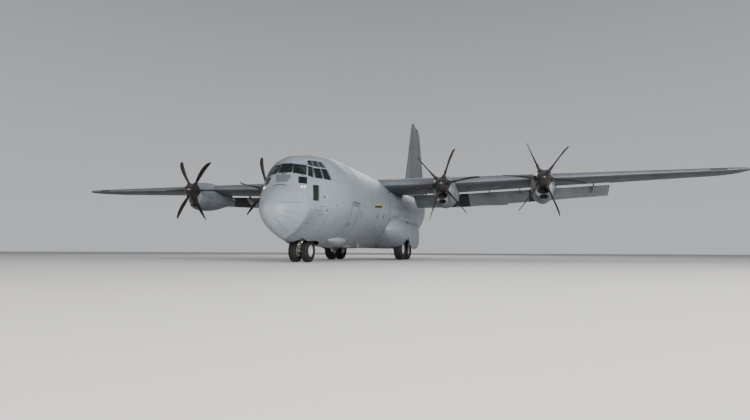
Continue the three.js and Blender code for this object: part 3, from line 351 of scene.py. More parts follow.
# Turns a profile of (distance along, radius) about an axis through a point.
def turned(bm, profile, centre, axis, count=48):
    across = axis.orthogonal().normalized()
    verts = [bm.verts.new(centre + axis * a + across * r) for a, r in profile]
    edges = [bm.edges.new(pair) for pair in zip(verts, verts[1:])]
    bmesh.ops.spin(bm, geom=verts + edges, cent=centre, axis=axis, angle=2 * math.pi, steps=count, use_merge=True,
                   use_duplicate=False)
    bmesh.ops.remove_doubles(bm, verts=bm.verts[:], dist=1e-6)


# A flat outline with rounded corners, pushed along a vector.
def slab(bm, points, push, round=0.0, segments=4):
    verts = [bm.verts.new(p) for p in points]
    face = bm.faces.new(verts)
    if round:
        made = bmesh.ops.bevel(bm, geom=verts, offset=round, offset_type="OFFSET", segments=segments, profile=0.5,
                               affect="VERTICES", clamp_overlap=True, material=-1)
        face = made["verts"][0].link_faces[0]
    made = bmesh.ops.extrude_face_region(bm, geom=[face], use_keep_orig=True)["geom"]
    bmesh.ops.translate(bm, vec=push, verts=[g for g in made if isinstance(g, bmesh.types.BMVert)])


def toolFrom(build, *shape):
    bm = bmesh.new()
    build(bm, *shape)
    return dress("tool", bm, "seal", smooth=0)


# Cuts with scratch solids, or keeps what lies in them, and leaves the result in the piece's own mesh.
def carve(piece, tools, how="DIFFERENCE", smooth=35):
    for tool in tools:
        cutter = piece.modifiers.new("cut", "BOOLEAN")
        cutter.operation = how
        cutter.solver = "EXACT"
        cutter.object = tool
    bpy.context.view_layer.update()
    seen = piece.evaluated_get(bpy.context.evaluated_depsgraph_get())
    mesh = bpy.data.meshes.new_from_object(seen)
    piece.modifiers.clear()
    old = piece.data
    materials = list(old.materials)
    piece.data = mesh
    mesh.materials.clear()
    for material in materials:
        mesh.materials.append(material)
    for polygon in mesh.polygons:
        polygon.material_index = 0
        polygon.use_smooth = True
    mesh.set_sharp_from_angle(angle=math.radians(smooth))
    bpy.data.meshes.remove(old)
    for tool in tools:
        bpy.data.objects.remove(tool)


def copyOf(piece, name):
    twin = piece.copy()
    twin.data = piece.data.copy()
    twin.name = name
    bpy.context.scene.collection.objects.link(twin)
    return twin


def mirrorOf(piece, name):
    twin = copyOf(piece, name)
    twin.parent = None
    bm = bmesh.new()
    bm.from_mesh(twin.data)
    bmesh.ops.scale(bm, vec=(-1, 1, 1), verts=bm.verts[:])
    bmesh.ops.reverse_faces(bm, faces=bm.faces[:])
    bm.to_mesh(twin.data)
    bm.free()
    return twin


# Monotone curve through a table's rows, read at one value of the first column (after warp).
def tableCurve(rows, warp=lambda v: v):
    keys = [warp(row[0]) for row in rows]
    columns = list(zip(*[row[1:] for row in rows]))
    slopes = []
    for column in columns:
        steps = [(b - a) / (q - p) for a, b, p, q in zip(column, column[1:], keys, keys[1:])]
        inner = [0.0 if a * b <= 0 else 2 * a * b / (a + b) for a, b in zip(steps, steps[1:])]
        slopes.append([steps[0], *inner, steps[-1]])

    def read(value):
        at = min(max(warp(value), keys[0]), keys[-1])
        i = max(0, min(len(keys) - 2, next((k for k in range(len(keys) - 1) if keys[k + 1] >= at), len(keys) - 2)))
        width = keys[i + 1] - keys[i]
        t = (at - keys[i]) / width
        result = []
        for column, slope in zip(columns, slopes):
            a, b = column[i], column[i + 1]
            result.append(a * (1 + 2 * t) * (1 - t) ** 2 + b * t * t * (3 - 2 * t)
                          + slope[i] * width * t * (1 - t) ** 2 - slope[i + 1] * width * t * t * (1 - t))
        return result
    return read


# Fuselage
body = {
    # station, half width, top, bottom, height of the widest point, squareness of the lower and of the upper half
    "rows": [
        (0.0, 0.07, 2.12, 1.98, 2.05, 2.0, 2.0), (0.06, 0.33, 2.36, 1.72, 2.05, 2.0, 2.0),
        (0.22, 0.515, 2.6, 1.46, 2.06, 1.84, 2.0), (0.6, 0.77, 2.92, 1.2, 2.11, 1.58, 2.0),
        (0.95, 0.965, 3.12, 1.05, 2.15, 1.48, 2.03), (1.24, 1.13, 3.68, 0.97, 2.19, 1.42, 2.02),
        (1.48, 1.25, 4.08, 0.92, 2.24, 1.4, 1.9), (1.8, 1.37, 4.34, 0.87, 2.29, 1.49, 1.95),
        (2.2, 1.57, 4.52, 0.83, 2.36, 1.68, 2.25), (2.8, 1.83, 4.66, 0.77, 2.5, 1.88, 2.42),
        (3.6, 2.03, 4.79, 0.73, 2.65, 1.98, 2.25), (4.4, 2.11, 4.87, 0.71, 2.75, 2.0, 2.05),
        (5.3, 2.16, 4.92, 0.7, 2.81, 2.05, 2.0), (17.7, 2.16, 4.92, 0.7, 2.81, 2.05, 2.0),
        (19.4, 2.12, 4.92, 1.42, 3.0, 2.4, 2.0), (21.2, 1.98, 4.92, 2.28, 3.3, 2.5, 2.0),
        (23.2, 1.66, 4.9, 3.2, 3.8, 2.4, 2.0), (25.2, 1.22, 4.86, 4.02, 4.36, 2.2, 2.0),
        (27.5, 0.72, 4.8, 4.3, 4.54, 2.0, 2.0), (29.3, 0.3, 4.74, 4.46, 4.6, 2.0, 2.0),
        (29.79, 0.07, 4.67, 4.53, 4.6, 2.0, 2.0)],
    "radomeTop": 0.95, "radomeEnd": 1.2, "holdEnd": 17.7, "rampEnd": 21.0,
    "around": 120, "skin": 0.05, "proud": 0.006,
}
bodyCurve = tableCurve(body["rows"], math.sqrt)


def bodySection(station, inset=0.0):
    half, top, bottom, wide, lower, upper = bodyCurve(station)

    def point(angle):
        c, s = math.cos(angle), math.sin(angle)
        power = 2 / (lower if s < 0 else upper)
        reach = (wide - bottom if s < 0 else top - wide) - inset
        return spot(bend(c, power) * (half - inset), station, wide + bend(s, power) * reach)
    return point


# Half width, height of the widest point, and the squareness and reach of the half that z lies in
def bodyEdge(station, z):
    half, top, bottom, wide, lower, upper = bodyCurve(station)
    return (half, wide, lower, wide - bottom) if z < wide else (half, wide, upper, top - wide)


def bodyStations(start, end, step):
    count = max(2, math.ceil((end - start) / step))
    return [start + (end - start) * i / count for i in range(count + 1)]


# A closed wall between two stations: out along the skin and back along its inner face.
def bodyWall(bm, start, end, step, skin=None, inset=None):
    skin = skin or body["skin"]
    outer = [bodySection(s, inset if inset is not None else -body["proud"]) for s in bodyStations(start, end, step)]
    inner = [bodySection(s, skin) for s in reversed(bodyStations(start, end, step))]
    loft(bm, [*outer, *inner, outer[0]], body["around"], closed=True)


# Below nought inside the body's skin and above it outside
def skinValue(x, station, z):
    half, wide, power, span = bodyEdge(station, z)
    return (abs(x) / half) ** power + (abs(z - wide) / span) ** power - 1


def outward(x, station, z):
    e = 0.01
    return Vector((skinValue(x + e, station, z) - skinValue(x - e, station, z),
                   skinValue(x, station + e, z) - skinValue(x, max(0.0, station - e), z),
                   skinValue(x, station, z + e) - skinValue(x, station, z - e))).normalized()


def sideSpot(station, z, side):
    half, wide, power, span = bodyEdge(station, z)
    return side * half * (1 - min(0.999, abs(z - wide) / span) ** power) ** (1 / power), station, z


def frontSpot(x, z):
    low, high = 0.02, 3.5
    for _ in range(36):
        middle = (low + high) / 2
        low, high = (middle, high) if skinValue(x, middle, z) > 0 else (low, middle)
    return x, high, z


# A line drawn on the skin through (station, height) marks, or (offset, height) marks seen from ahead
def trail(marks, side=1, front=False, step=0.07):
    path = []
    for (a0, z0), (a1, z1) in zip(marks, marks[1:]):
        count = max(1, math.ceil(math.hypot(a1 - a0, z1 - z0) / step))
        path += [(a0 + (a1 - a0) * i / count, z0 + (z1 - z0) * i / count) for i in range(count)]
    path.append(marks[-1])
    return [frontSpot(a, z) if front else sideSpot(a, z, side) for a, z in path]


# A thin raised strip along skin points
def strip(bm, points, width, height=0.004, closed=False):
    sections, sink = [], 0.002
    last = len(points) - 1
    for i, (x, station, z) in enumerate(points):
        before, after = points[max(0, i - 1)], points[min(last, i + 1)]
        if closed and i in (0, last):
            before, after = points[-2], points[1]
        way = (spot(*after) - spot(*before)).normalized()
        out = outward(x, station, z)
        across = way.cross(out).normalized()
        middle = spot(x, station, z) + out * m(body["proud"] + (height - sink) / 2)

        def point(angle, middle=middle, across=across, out=out):
            c, n = math.cos(angle), math.sin(angle)
            return middle + across * m(bend(c, 0.5) * width / 2) + out * m(bend(n, 0.5) * (height + sink) / 2)
        sections.append(point)
    loft(bm, sections, 8, closed=closed)


# A shallow round button on the skin, such as a lamp or a fastener
def button(bm, x, station, z, radius, height, ring=0.0):
    out = outward(x, station, z)
    foot = spot(x, station, z) + out * m(body["proud"])
    profile = [(-0.02, 0.0), (-0.02, radius), (height * 0.6, radius), (height * 0.85, radius * 0.93)]
    if ring:
        rim = radius - ring
        profile += [(height * 0.85, rim), (height * 0.3, rim), (height * 0.3, 0.0)]
    else:
        profile += [(height, radius * 0.7), (height * 1.15, 0.0)]
    turned(bm, [(m(a), m(r)) for a, r in profile], foot, out, 28)


# The space ahead of the radome's rear edge, which runs forwards towards its top
def radomeTool(shift):
    end, top = body["radomeEnd"] + shift, body["radomeTop"] + shift
    points = [(-1, -1), (end, -1), (end, 2.45), (end - 0.02, 2.58), (top + 0.03, 2.98), (top, 3.1), (top, 6), (-1, 6)]
    return toolFrom(slab, [spot(-3, s, z) for s, z in points], Vector((m(6), 0, 0)))


def makeRadome():
    bm = bmesh.new()
    stations = [0.0, 0.008, 0.03, 0.06, 0.1, 0.15, 0.22, 0.3, 0.4, 0.5, 0.6, 0.7, 0.8, 0.88, 0.95, 1.02, 1.1, 1.18,
                1.25, 1.3]
    loft(bm, [bodySection(s, -body["proud"]) for s in stations], body["around"])
    radome = dress("noseRadome", bm, "radome", 60)
    carve(radome, [radomeTool(-0.006)], "INTERSECT", smooth=50)
    settle(radome, "airframe", ["radome"])


makeRadome()

windows = {
    # outlines of the port panes: station and height on the sides, offset and height in front
    "sidePanes": [
        [(1.56, 3.57), (1.74, 3.52), (1.93, 3.92), (1.81, 3.96)],
        [(1.83, 3.51), (2.09, 3.5), (2.17, 3.89), (1.96, 3.89)],
        [(2.16, 3.49), (2.45, 3.48), (2.45, 3.89), (2.23, 3.89)],
        [(1.89, 4.07), (2.0, 4.02), (2.12, 4.24), (2.01, 4.23)],
        [(2.04, 4.02), (2.2, 4.01), (2.33, 4.23), (2.16, 4.23)],
        [(2.26, 4.01), (2.45, 4.01), (2.46, 4.22), (2.37, 4.22)],
        [(1.42, 2.54), (1.68, 2.55), (1.82, 3.14), (1.56, 3.12)]],
    "frontPanes": [[(-0.28, 3.68), (0.28, 3.68), (0.245, 4.05), (-0.245, 4.05)],
                   [(0.38, 3.66), (0.82, 3.59), (0.705, 3.99), (0.305, 4.03)]],
    "chinPane": [(0.69, 3.22), (0.925, 3.2), (0.865, 3.44), (0.635, 3.45)],
    # each wiper: pivot, arm end, blade ends
    "wipers": [((0.04, 3.6), (0.2, 3.74), (0.12, 3.62), (0.24, 3.9)),
               ((0.74, 3.52), (0.6, 3.7), (0.66, 3.58), (0.52, 3.86))],
    "corner": 0.03, "grow": 0.026, "sealWidth": 0.03, "glassDepth": 0.022,
}


def grownOutline(outline, grow):
    cx, cz = (sum(p[k] for p in outline) / len(outline) for k in (0, 1))
    grown = []
    for a, z in outline:
        away = Vector((a - cx, z - cz))
        away += away.normalized() * grow
        grown.append((cx + away.x, cz + away.y))
    return grown


def paneTool(mode, outline, side):
    grown = grownOutline(outline, windows["grow"])
    if mode == "side":
        points, push = [spot(side * 0.5, s, z) for s, z in grown], Vector((side * m(1.8), 0, 0))
    else:
        points, push = [spot(side * x, 1.0, z) for x, z in grown], Vector((0, m(1.0), 0))
    return toolFrom(slab, points, push, m(windows["corner"]))


def everyPane():
    middle, outer = windows["frontPanes"]
    pairs = [("side", outline) for outline in windows["sidePanes"]]
    pairs += [("front", outer), ("front", windows["chinPane"])]
    return [("front", middle, 1), *((mode, outline, side) for mode, outline in pairs for _, side in sides)]


doors = {
    "crew": {"s0": 3.84, "s1": 4.66, "z0": 1.06, "z1": 2.66, "gap": 0.02, "corner": 0.1},
    "jump": {"s0": 16.72, "s1": 17.56, "z0": 1.1, "z1": 2.9, "gap": 0.012, "corner": 0.1},
}


def doorTool(door, grow, side):
    s0, s1, z0, z1 = door["s0"] - grow, door["s1"] + grow, door["z0"] - grow, door["z1"] + grow
    points = [spot(side * 0.5, s, z) for s, z in ((s0, z0), (s1, z0), (s1, z1), (s0, z1))]
    return toolFrom(slab, points, Vector((side * m(2.2), 0, 0)), m(door["corner"]), 6)


def makeDeckSkin():
    bm = bmesh.new()
    bodyWall(bm, 0.94, 5.297, 0.05)
    skin = dress("deckSkin", bm, "fuselage", 40)
    door = copyOf(skin, "crewDoorSkin")
    panes = [paneTool(mode, outline, side) for mode, outline, side in everyPane()]
    well = toolFrom(rod, spot(0, 3.05, 0.3), spot(0, 3.05, 1.15), m(0.74), None, 40)
    bay = toolFrom(brick, spot(-0.5, 1.97, -0.5), spot(0.5, 3.92, 1.2), m(0.03))
    carve(skin, [*panes, doorTool(doors["crew"], doors["crew"]["gap"], 1), well, bay, radomeTool(0.006)])
    carve(door, [doorTool(doors["crew"], 0, 1)], "INTERSECT")
    settle(skin, "airframe", ["cockpit_upper", "cockpit_lower"])
    settle(door, "crew_door", ["crew_door"])


makeDeckSkin()


def makeGlass():
    bm = bmesh.new()
    bodyWall(bm, 1.12, 2.75, 0.08, skin=0.05, inset=windows["glassDepth"])
    glass = dress("cockpitPanes", bm, "pane", 40)
    low = copyOf(glass, "sideLowPanes")
    low.data.materials[0] = paints["greenPane"]
    rooms = ((glass, spot(-3, 1.0, 3.18), spot(3, 2.72, 4.45)), (low, spot(-3, 1.2, 2.4), spot(3, 1.95, 3.2)))
    for piece, *corners in rooms:
        carve(piece, [toolFrom(brick, *corners)], "INTERSECT")
        settle(piece, "airframe", ["cockpit_glazing"])


# Rubber seals round the panes, laid on the skin a little outside each opening
def makeSeals():
    bm = bmesh.new()
    for mode, outline, side in everyPane():
        corners = [Vector(p) for p in grownOutline(outline, windows["grow"] + 0.004)]
        rounded = []
        for i, corner in enumerate(corners):
            back = (corners[i - 1] - corner).normalized() * 0.03
            ahead = (corners[(i + 1) % len(corners)] - corner).normalized() * 0.03
            rounded += [corner + back, corner + (back + ahead) * 0.3, corner + ahead]
        line = [(side * v.x if mode == "front" else v.x, v.y) for v in (*rounded, rounded[0])]
        strip(bm, trail(line, side, mode == "front", 0.05), windows["sealWidth"], 0.006, closed=True)
    addPiece("paneSeals", bm, "seal", 50)


makeSeals()


def makeWipers():
    bm = bmesh.new()
    for base, mid, low, high in windows["wipers"]:
        for _, side in sides:
            arm = [frontSpot(side * x, z) for x, z in (base, mid)]
            points = [spot(*at) + outward(*at) * m(0.03) for at in arm]
            rod(bm, points[0] - outward(*arm[0]) * m(0.05), points[0], m(0.02), count=12)
            rod(bm, points[0], points[1], m(0.009), m(0.007), 10)
            blade = [spot(*at) + outward(*at) * m(0.022) for at in (frontSpot(side * x, z) for x, z in (low, high))]
            rod(bm, blade[0], blade[1], m(0.009), count=8)
    addPiece("windscreenWipers", bm, "boot", 40, "airframe")


makeWipers()
makeGlass()
print("nose done")


def makeHoldSkin():
    bm = bmesh.new()
    bodyWall(bm, 5.303, 17.697, 1.0)
    skin = dress("holdSkin", bm, "fuselage", 40)
    for name, side in sides:
        leaf = copyOf(skin, f"jumpDoorSkin_{name}")
        carve(leaf, [doorTool(doors["jump"], 0, side)], "INTERSECT")
        settle(leaf, "airframe", [f"jump_door_{name}"])
    carve(skin, [doorTool(doors["jump"], doors["jump"]["gap"], side) for _, side in sides])
    settle(skin, "airframe", ["hold_shell"])


makeHoldSkin()

ramp = {"half": 1.5, "rise": 0.436, "top": 1.02, "endFoot": 2.18, "endLean": 0.52, "gap": 0.012}


# The space of the ramp, and of the upper door behind it, as scratch solids
def rampTool(grow, wide):
    s0, s1 = body["holdEnd"] + 0.012 - grow, body["rampEnd"] - 0.012 + grow
    top0, top1 = (ramp["top"] + (s - body["holdEnd"]) * ramp["rise"] + max(grow, 0) for s in (s0, s1))
    back, half = s1 - ramp["endLean"] * (top1 - ramp["endFoot"]), ramp["half"] + wide
    points = [(s0, -1), (s1, -1), (s1, ramp["endFoot"]), (back, top1), (s0, top0)]
    return toolFrom(slab, [spot(-half, s, z) for s, z in points], Vector((m(2 * half), 0, 0)))


def cargoTool(grow):
    front, back = body["rampEnd"] + 0.012 - grow, 25.0 + grow
    points = [(-1.44 - grow, front), (1.44 + grow, front), (0.86 + grow, back), (-0.86 - grow, back)]
    return toolFrom(slab, [spot(x, s, 1.5) for x, s in points], Vector((0, 0, m(2.9))))


def makeAft():
    bm = bmesh.new()
    bodyWall(bm, 17.703, 25.2, 0.3, skin=0.04)
    skin = dress("aftSkin", bm, "fuselage", 40)
    rampLeaf = copyOf(skin, "rampSkin")
    doorLeaf = copyOf(skin, "cargoDoorSkin")
    carve(skin, [rampTool(0.024, 0.012), cargoTool(0.024)])
    carve(rampLeaf, [rampTool(0, 0)], "INTERSECT")
    carve(doorLeaf, [cargoTool(0)], "INTERSECT")
    settle(skin, "airframe", ["aft_fuselage"])
    settle(rampLeaf, "ramp")
    settle(doorLeaf, "cargo_door", ["cargo_door"])
    bm = bmesh.new()
    stations = bodyStations(25.203, 29.6, 0.3) + [29.68, 29.74, 29.775, 29.79]
    loft(bm, [bodySection(s, -0.003) for s in stations], 80)
    addPiece("tailConeSkin", bm, "fuselage", 60, replaces=["tail_cone"])


makeAft()
print("fuselage done")


marks = {
    # lines as (station, height) on the port side, with a width
    "lines": [
        ([(0.102, 2.06), (0.905, 1.926)], 0.012), ([(0.141, 2.333), (0.971, 2.386)], 0.01),
        ([(0.072, 1.721), (0.339, 1.474), (0.931, 1.215)], 0.016), ([(1.035, 1.329), (1.186, 1.355)], 0.016),
        ([(1.186, 1.355), (1.484, 1.246)], 0.012), ([(1.758, 2.295), (2.031, 2.316)], 0.026),
        ([(1.583, 2.115), (1.905, 2.134)], 0.022), ([(1.819, 1.949), (2.06, 1.989)], 0.03),
        ([(1.535, 1.851), (1.501, 1.728), (1.384, 1.562)], 0.014),
        ([(2.306, 2.0), (2.184, 1.807), (2.26, 1.6)], 0.009), ([(2.3, 1.45), (2.419, 1.133)], 0.02),
        ([(3.051, 1.984), (2.863, 1.761), (2.889, 1.423)], 0.008),
        ([(8.8, 1.846), (8.96, 1.846)], 0.05),
        ([(9.339, 2.085), (9.5, 2.5), (9.8, 2.95), (10.2, 3.371)], 0.014),
        ([(10.225, 3.373), (10.14, 2.95), (10.069, 2.405), (10.3, 2.1), (10.528, 1.759), (10.5, 1.45),
          (10.384, 1.202)], 0.055),
        # painted shadow where the wing's leading edge meets the body
        ([(10.55, 3.72), (10.8, 3.86), (11.1, 3.93), (11.4, 3.95)], 0.08),
        # the sponson's front seam, widened with painted shade in the crease
        ([(10.04, 2.4), (9.96, 2.1), (9.97, 1.75), (10.05, 1.45), (10.25, 1.2)], 0.045),
        ([(5.4, 1.14), (8.0, 1.22), (10.2, 1.28)], 0.02)],
    "tabs": [(7.721, 2.275), (8.834, 2.35)],
    # short dashes from one end of a line to the other
    "dashed": [([(0.064, 1.887), (0.973, 1.554)], 0.014, 0.06)],
    "closedLines": [([(4.879, 2.313), (5.16, 2.321), (5.294, 2.088), (5.034, 2.089)], 0.016),
                    ([(3.82, 1.04), (4.68, 1.04), (4.68, 2.68), (3.82, 2.68)], 0.032)],
    "dots": [(1.998, 2.702, 0.055), (2.162, 2.164, 0.045), (1.468, 1.587, 0.034), (11.213, 2.945, 0.06),
             (3.861, 1.615, 0.05), (1.5, 2.36, 0.024), (2.62, 2.4, 0.03), (5.75, 2.95, 0.03), (6.6, 1.7, 0.03)],
    # the radome's top edge, seen from ahead: its seam, drawn thick as painted shadow under the brow
    "topLipShadow": [(-0.373, 3.09), (-0.157, 3.139), (0.06, 3.125), (0.253, 3.076)],
    # outline of the painted shade below the middle windscreen, as offset and height seen from ahead
    "screenShade": [(-0.38, 3.6), (0.29, 3.57), (0.33, 3.44), (0.2, 3.25), (-0.29, 3.26)],
    "lamps": [(0.814, 3.044), (0.907, 3.046)],
    "doorBars": [2.62, 2.52],
    "rescue": [(7.031, 2.755), (8.356, 2.87)],
}


def makeMarks():
    bm = bmesh.new()
    for _, side in sides:
        for line, width in marks["lines"]:
            strip(bm, trail(line, side), width)
        for line, width, dash in marks["dashed"]:
            path = trail(line, side, step=dash)
            for a, b in zip(path[::2], path[1::2]):
                strip(bm, [a, b], width)
        for line, width in marks["closedLines"]:
            strip(bm, trail([*line, line[0]], side), width, closed=True)
        for s, z, radius in marks["dots"]:
            button(bm, *sideSpot(s, z, side), radius, 0.008)
    # A thick dark strip on the radome's top edge: the seam, with painted shadow under the brow
    strip(bm, trail(marks["topLipShadow"], front=True, step=0.05), 0.045, 0.012)
    addPiece("skinMarksAndShadows", bm, "markDark", 50)
    # A darker sheet below the middle windscreen: painted shade where the skin turns up under the screen
    bm = bmesh.new()
    bodyWall(bm, 0.94, 1.5, 0.05, skin=-0.002, inset=-0.012)
    patch = dress("screenShadePatch", bm, "screenShade", 60)
    outline = [spot(x, 0.8, z) for x, z in marks["screenShade"]]
    carve(patch, [toolFrom(slab, outline, Vector((0, m(0.8), 0)), m(0.04))], "INTERSECT", smooth=60)
    settle(patch, "airframe")
    bm = bmesh.new()
    frames = bmesh.new()
    for x, z in marks["lamps"]:
        for _, side in sides:
            button(bm, *frontSpot(side * x, z), 0.042, 0.02)
            button(frames, *frontSpot(side * x, z), 0.058, 0.014, ring=0.014)
    addPiece("noseLamps", bm, "lampLens", 40, "airframe")
    addPiece("noseLampRims", frames, "bareMetal", 40, "airframe")
    bm = bmesh.new()
    for z in marks["doorBars"]:
        strip(bm, trail([(3.93, z), (4.57, z)]), 0.04, 0.014)
    strip(bm, trail([(3.95, 1.7), (4.08, 1.7)]), 0.05, 0.03)
    addPiece("doorBars", bm, "markDark", 40, "crew_door")
    bm = bmesh.new()
    edge = bmesh.new()
    for _, side in sides:
        strip(bm, trail([(s, z + 0.05) for s, z in marks["rescue"]], side), 0.07, 0.004)
        strip(edge, trail([(s, z - 0.04) for s, z in marks["rescue"]], side), 0.1, 0.004)
        for s, z in marks["tabs"]:
            strip(edge, trail([(s, z - 0.1), (s, z + 0.1)], side), 0.2, 0.003)
            strip(bm, trail([(s - 0.03, z - 0.07), (s - 0.03, z + 0.07)], side), 0.07, 0.006)
    addPiece("sideBands", bm, "yellow", 50)
    addPiece("sideBandEdges", edge, "boot", 50)


makeMarks()


# Blade aerials, belly fairings, drains, probes and beacons, each standing on the skin
def makeFittings():
    bm = bmesh.new()
    fins = [(0.28, 3.03, 1, 0.14, 0.06), (0.0, 9.3, 1, 0.26, 0.12), (0.9, 8.06, -1, 0.3, 0.2),
            (0.0, 6.6, -1, 0.3, 0.24), (0.0, 20.0, 1, 0.22, 0.24), (-0.9, 7.3, -1, 0.22, 0.2)]
    for x, s, way, length, high in fins:
        half, wide, power, span = bodyEdge(s, way * 9)
        z = wide + way * span * (1 - (abs(x) / half) ** power) ** (1 / power)
        rows = [(-0.03, 1.0, 0.0), (high * 0.5, 0.8, 0.25), (high * 0.9, 0.62, 0.45), (high, 0.5, 0.5)]
        loft(bm, [(lambda a, up=up, k=k, lean=lean, x=x, s=s, z=z, length=length, way=way:
                   spot(x + math.sin(a) * 0.016 * k, s + lean * length + math.cos(a) * length / 2 * k, z + way * up))
                  for up, k, lean in rows], 24)
    addPiece("bladeAerials", bm, "fuselage", 50)
    bm = bmesh.new()
    for _, side in sides:
        ball(bm, spot(side * 0.98, 4.6, 0.98), m(1.0), (0.34, 1.0, 0.23), 48)
        ball(bm, spot(side * 0.5, 7.4, 0.76), m(0.6), (0.35, 1.0, 0.16), 32)
    addPiece("bellyFairings", bm, "fuselage", 60)
    bm = bmesh.new()
    for s, z in ((5.6, 1.02), (6.9, 0.98)):
        for _, side in sides:
            x, s, z = sideSpot(s, z, side)
            rod(bm, spot(x, s, z), spot(x, s + 0.08, z) + outward(x, s, z) * m(0.12), m(0.014), m(0.009), 10)
    for _, side in sides:
        x, s, z = sideSpot(2.2, 3.1, side)
        foot = spot(x, s, z)
        way = outward(x, s, z)
        rod(bm, foot, foot + way * m(0.05), m(0.012), count=12)
        tip = foot + way * m(0.05)
        rod(bm, tip + Vector((0, m(0.03), 0)), tip - Vector((0, m(0.12), 0)), m(0.009), m(0.006), 12)
    addPiece("probesAndDrains", bm, "markDark", 40, "airframe")
    bm = bmesh.new()
    ball(bm, spot(0, 7.6, 4.91), m(0.07), (1, 1, 0.7), 20)
    ball(bm, spot(0, 8.4, 0.7), m(0.08), (1, 1, 0.6), 20)
    addPiece("beacons", bm, "redLens", 40, "airframe")


makeFittings()


# Walls, frames and pipes of the nose gear bay
def makeNoseBay():
    bm = bmesh.new()
    for side in (-1, 1):
        near = min(side * 0.5, side * 0.53)
        brick(bm, spot(near, 1.97, 1.2), spot(near + 0.03, 3.92, 1.95))
        brick(bm, spot(near, 2.9, 0.96), spot(near + 0.03, 3.92, 1.21))
        for i in range(6):
            s = 2.06 + i * 0.35
            inner = sorted((side * 0.5, side * 0.44))
            brick(bm, spot(inner[0], s, 1.2), spot(inner[1], s + 0.03, 1.9), m(0.004))
        rod(bm, spot(side * 0.42, 2.0, 1.3), spot(side * 0.42, 3.9, 1.3), m(0.014), count=10)
        rod(bm, spot(side * 0.4, 2.0, 1.5), spot(side * 0.4, 3.9, 1.5), m(0.01), count=10)
    for s, low in ((1.945, 1.2), (3.92, 0.9)):
        brick(bm, spot(-0.5, s, low), spot(0.5, s + 0.025, 1.95))
    brick(bm, spot(-0.5, 1.97, 1.925), spot(0.5, 3.92, 1.95))
    addPiece("noseBayLining", bm, "bay", 40)


# Scissor link, collar and pins on the turning nose leg
def makeNoseLegParts():
    bm = bmesh.new()
    for x in (-0.055, 0.055):
        rod(bm, spot(x, 2.98, 0.98), spot(x * 0.6, 2.72, 0.76), m(0.02), count=14)
        rod(bm, spot(x * 0.6, 2.72, 0.76), spot(x, 2.97, 0.52), m(0.018), count=14)
    rod(bm, spot(-0.07, 2.72, 0.76), spot(0.07, 2.72, 0.76), m(0.022), count=16)
    rod(bm, spot(-0.09, 2.975, 0.98), spot(0.09, 2.975, 0.98), m(0.026), count=16)
    rod(bm, spot(0, 3.05, 0.9), spot(0, 3.05, 1.0), m(0.105), count=32)
    rod(bm, spot(-0.1, 2.93, 0.49), spot(0.1, 2.93, 0.49), m(0.03), count=16)
    addPiece("noseScissor", bm, "hubWhite", 40, "nose_steering")


makeNoseLegParts()
makeNoseBay()
print("marks and fittings done")


# Wing
def thicknessAt(x):
    return 5 * (0.2969 * math.sqrt(x) - 0.126 * x - 0.3516 * x * x + 0.2843 * x ** 3 - 0.1036 * x ** 4)


wing = {
    # x, chord, thickness share, height of the quarter chord, incidence
    "rows": [(0.0, 4.88, 0.178, 4.31, 1.2), (5.59, 4.88, 0.165, 4.33, 0.4), (10.35, 4.1, 0.146, 4.44, 0.2),
             (19.4, 2.61, 0.11, 4.6, -1.2), (20.0, 2.1, 0.1, 4.63, -1.2), (20.2, 1.3, 0.07, 4.63, -1.2)],
    "quarter": 12.05, "camber": 0.02, "around": 96,
    "flapInner": (2.4, 8.2), "flapOuter": (8.212, 14.1),
    # dark bands on the flaps behind each engine: engine axis and half width
    "darkBand": [(5.12, 0.84), (10.3, 0.66)], "flapShare": 0.29, "flapAngle": 31,
    "aileron": (14.25, 19.3), "aileronShare": 0.25,
}


def wingRow(x):
    rows = wing["rows"]
    x = abs(x)
    i = next(k for k in range(1, len(rows)) if rows[k][0] >= x - 1e-9)
    a, b = rows[i - 1], rows[i]
    t = (x - a[0]) / (b[0] - a[0])
    return [p + (q - p) * t for p, q in zip(a, b)]


def wingPoint(x, back, up):
    _, chord, _, height, incidence = wingRow(x)
    dy, dz = (back - 0.25) * chord, up * chord
    turn = -math.radians(incidence)
    return spot(x, wing["quarter"] + dy * math.cos(turn) - dz * math.sin(turn),
                height + dy * math.sin(turn) + dz * math.cos(turn))


def camberAt(share):
    return wing["camber"] * 4 * share * (1 - share)


def foil(angle, thick):
    share = (1 + math.cos(angle)) / 2
    half = max(thicknessAt(share) * thick, 0.0015)
    return share, half if math.sin(angle) >= 0 else -half


# A hinged surface's outline in chords: a round nose about the hinge line, then the foil behind it
def surfaceShape(angle, hinge, nose, thick, least):
    c, n = math.cos(angle), math.sin(angle)
    if c < 0:
        return hinge + nose * c, nose * n
    share = hinge + (1 - hinge) * c ** 1.3
    return share, math.copysign(max(thicknessAt(share) * thick, least), n)


def wingSection(x):
    thick = wingRow(x)[2]

    def point(angle):
        share, up = foil(angle, thick)
        return wingPoint(x, share, camberAt(share) + up)
    return point


def wingStations(start, end):
    inner = [row[0] for row in wing["rows"] if start < row[0] < end]
    return sorted({start, *inner, 20.08, 20.14, 20.17, end})


def wingBlock(x0, x1, back0, back1, top=0.3):
    corners = ((back0, -0.3), (back1, -0.3), (back1, top), (back0, top))
    ends = [[wingPoint(x, back, up) for back, up in corners] for x in (x0, x1)]

    def build(bm):
        slab(bm, ends[0], Vector((0, 0, 0)))
        for v, place in zip(list(bm.verts)[4:], ends[1]):
            v.co = place
    return toolFrom(build)


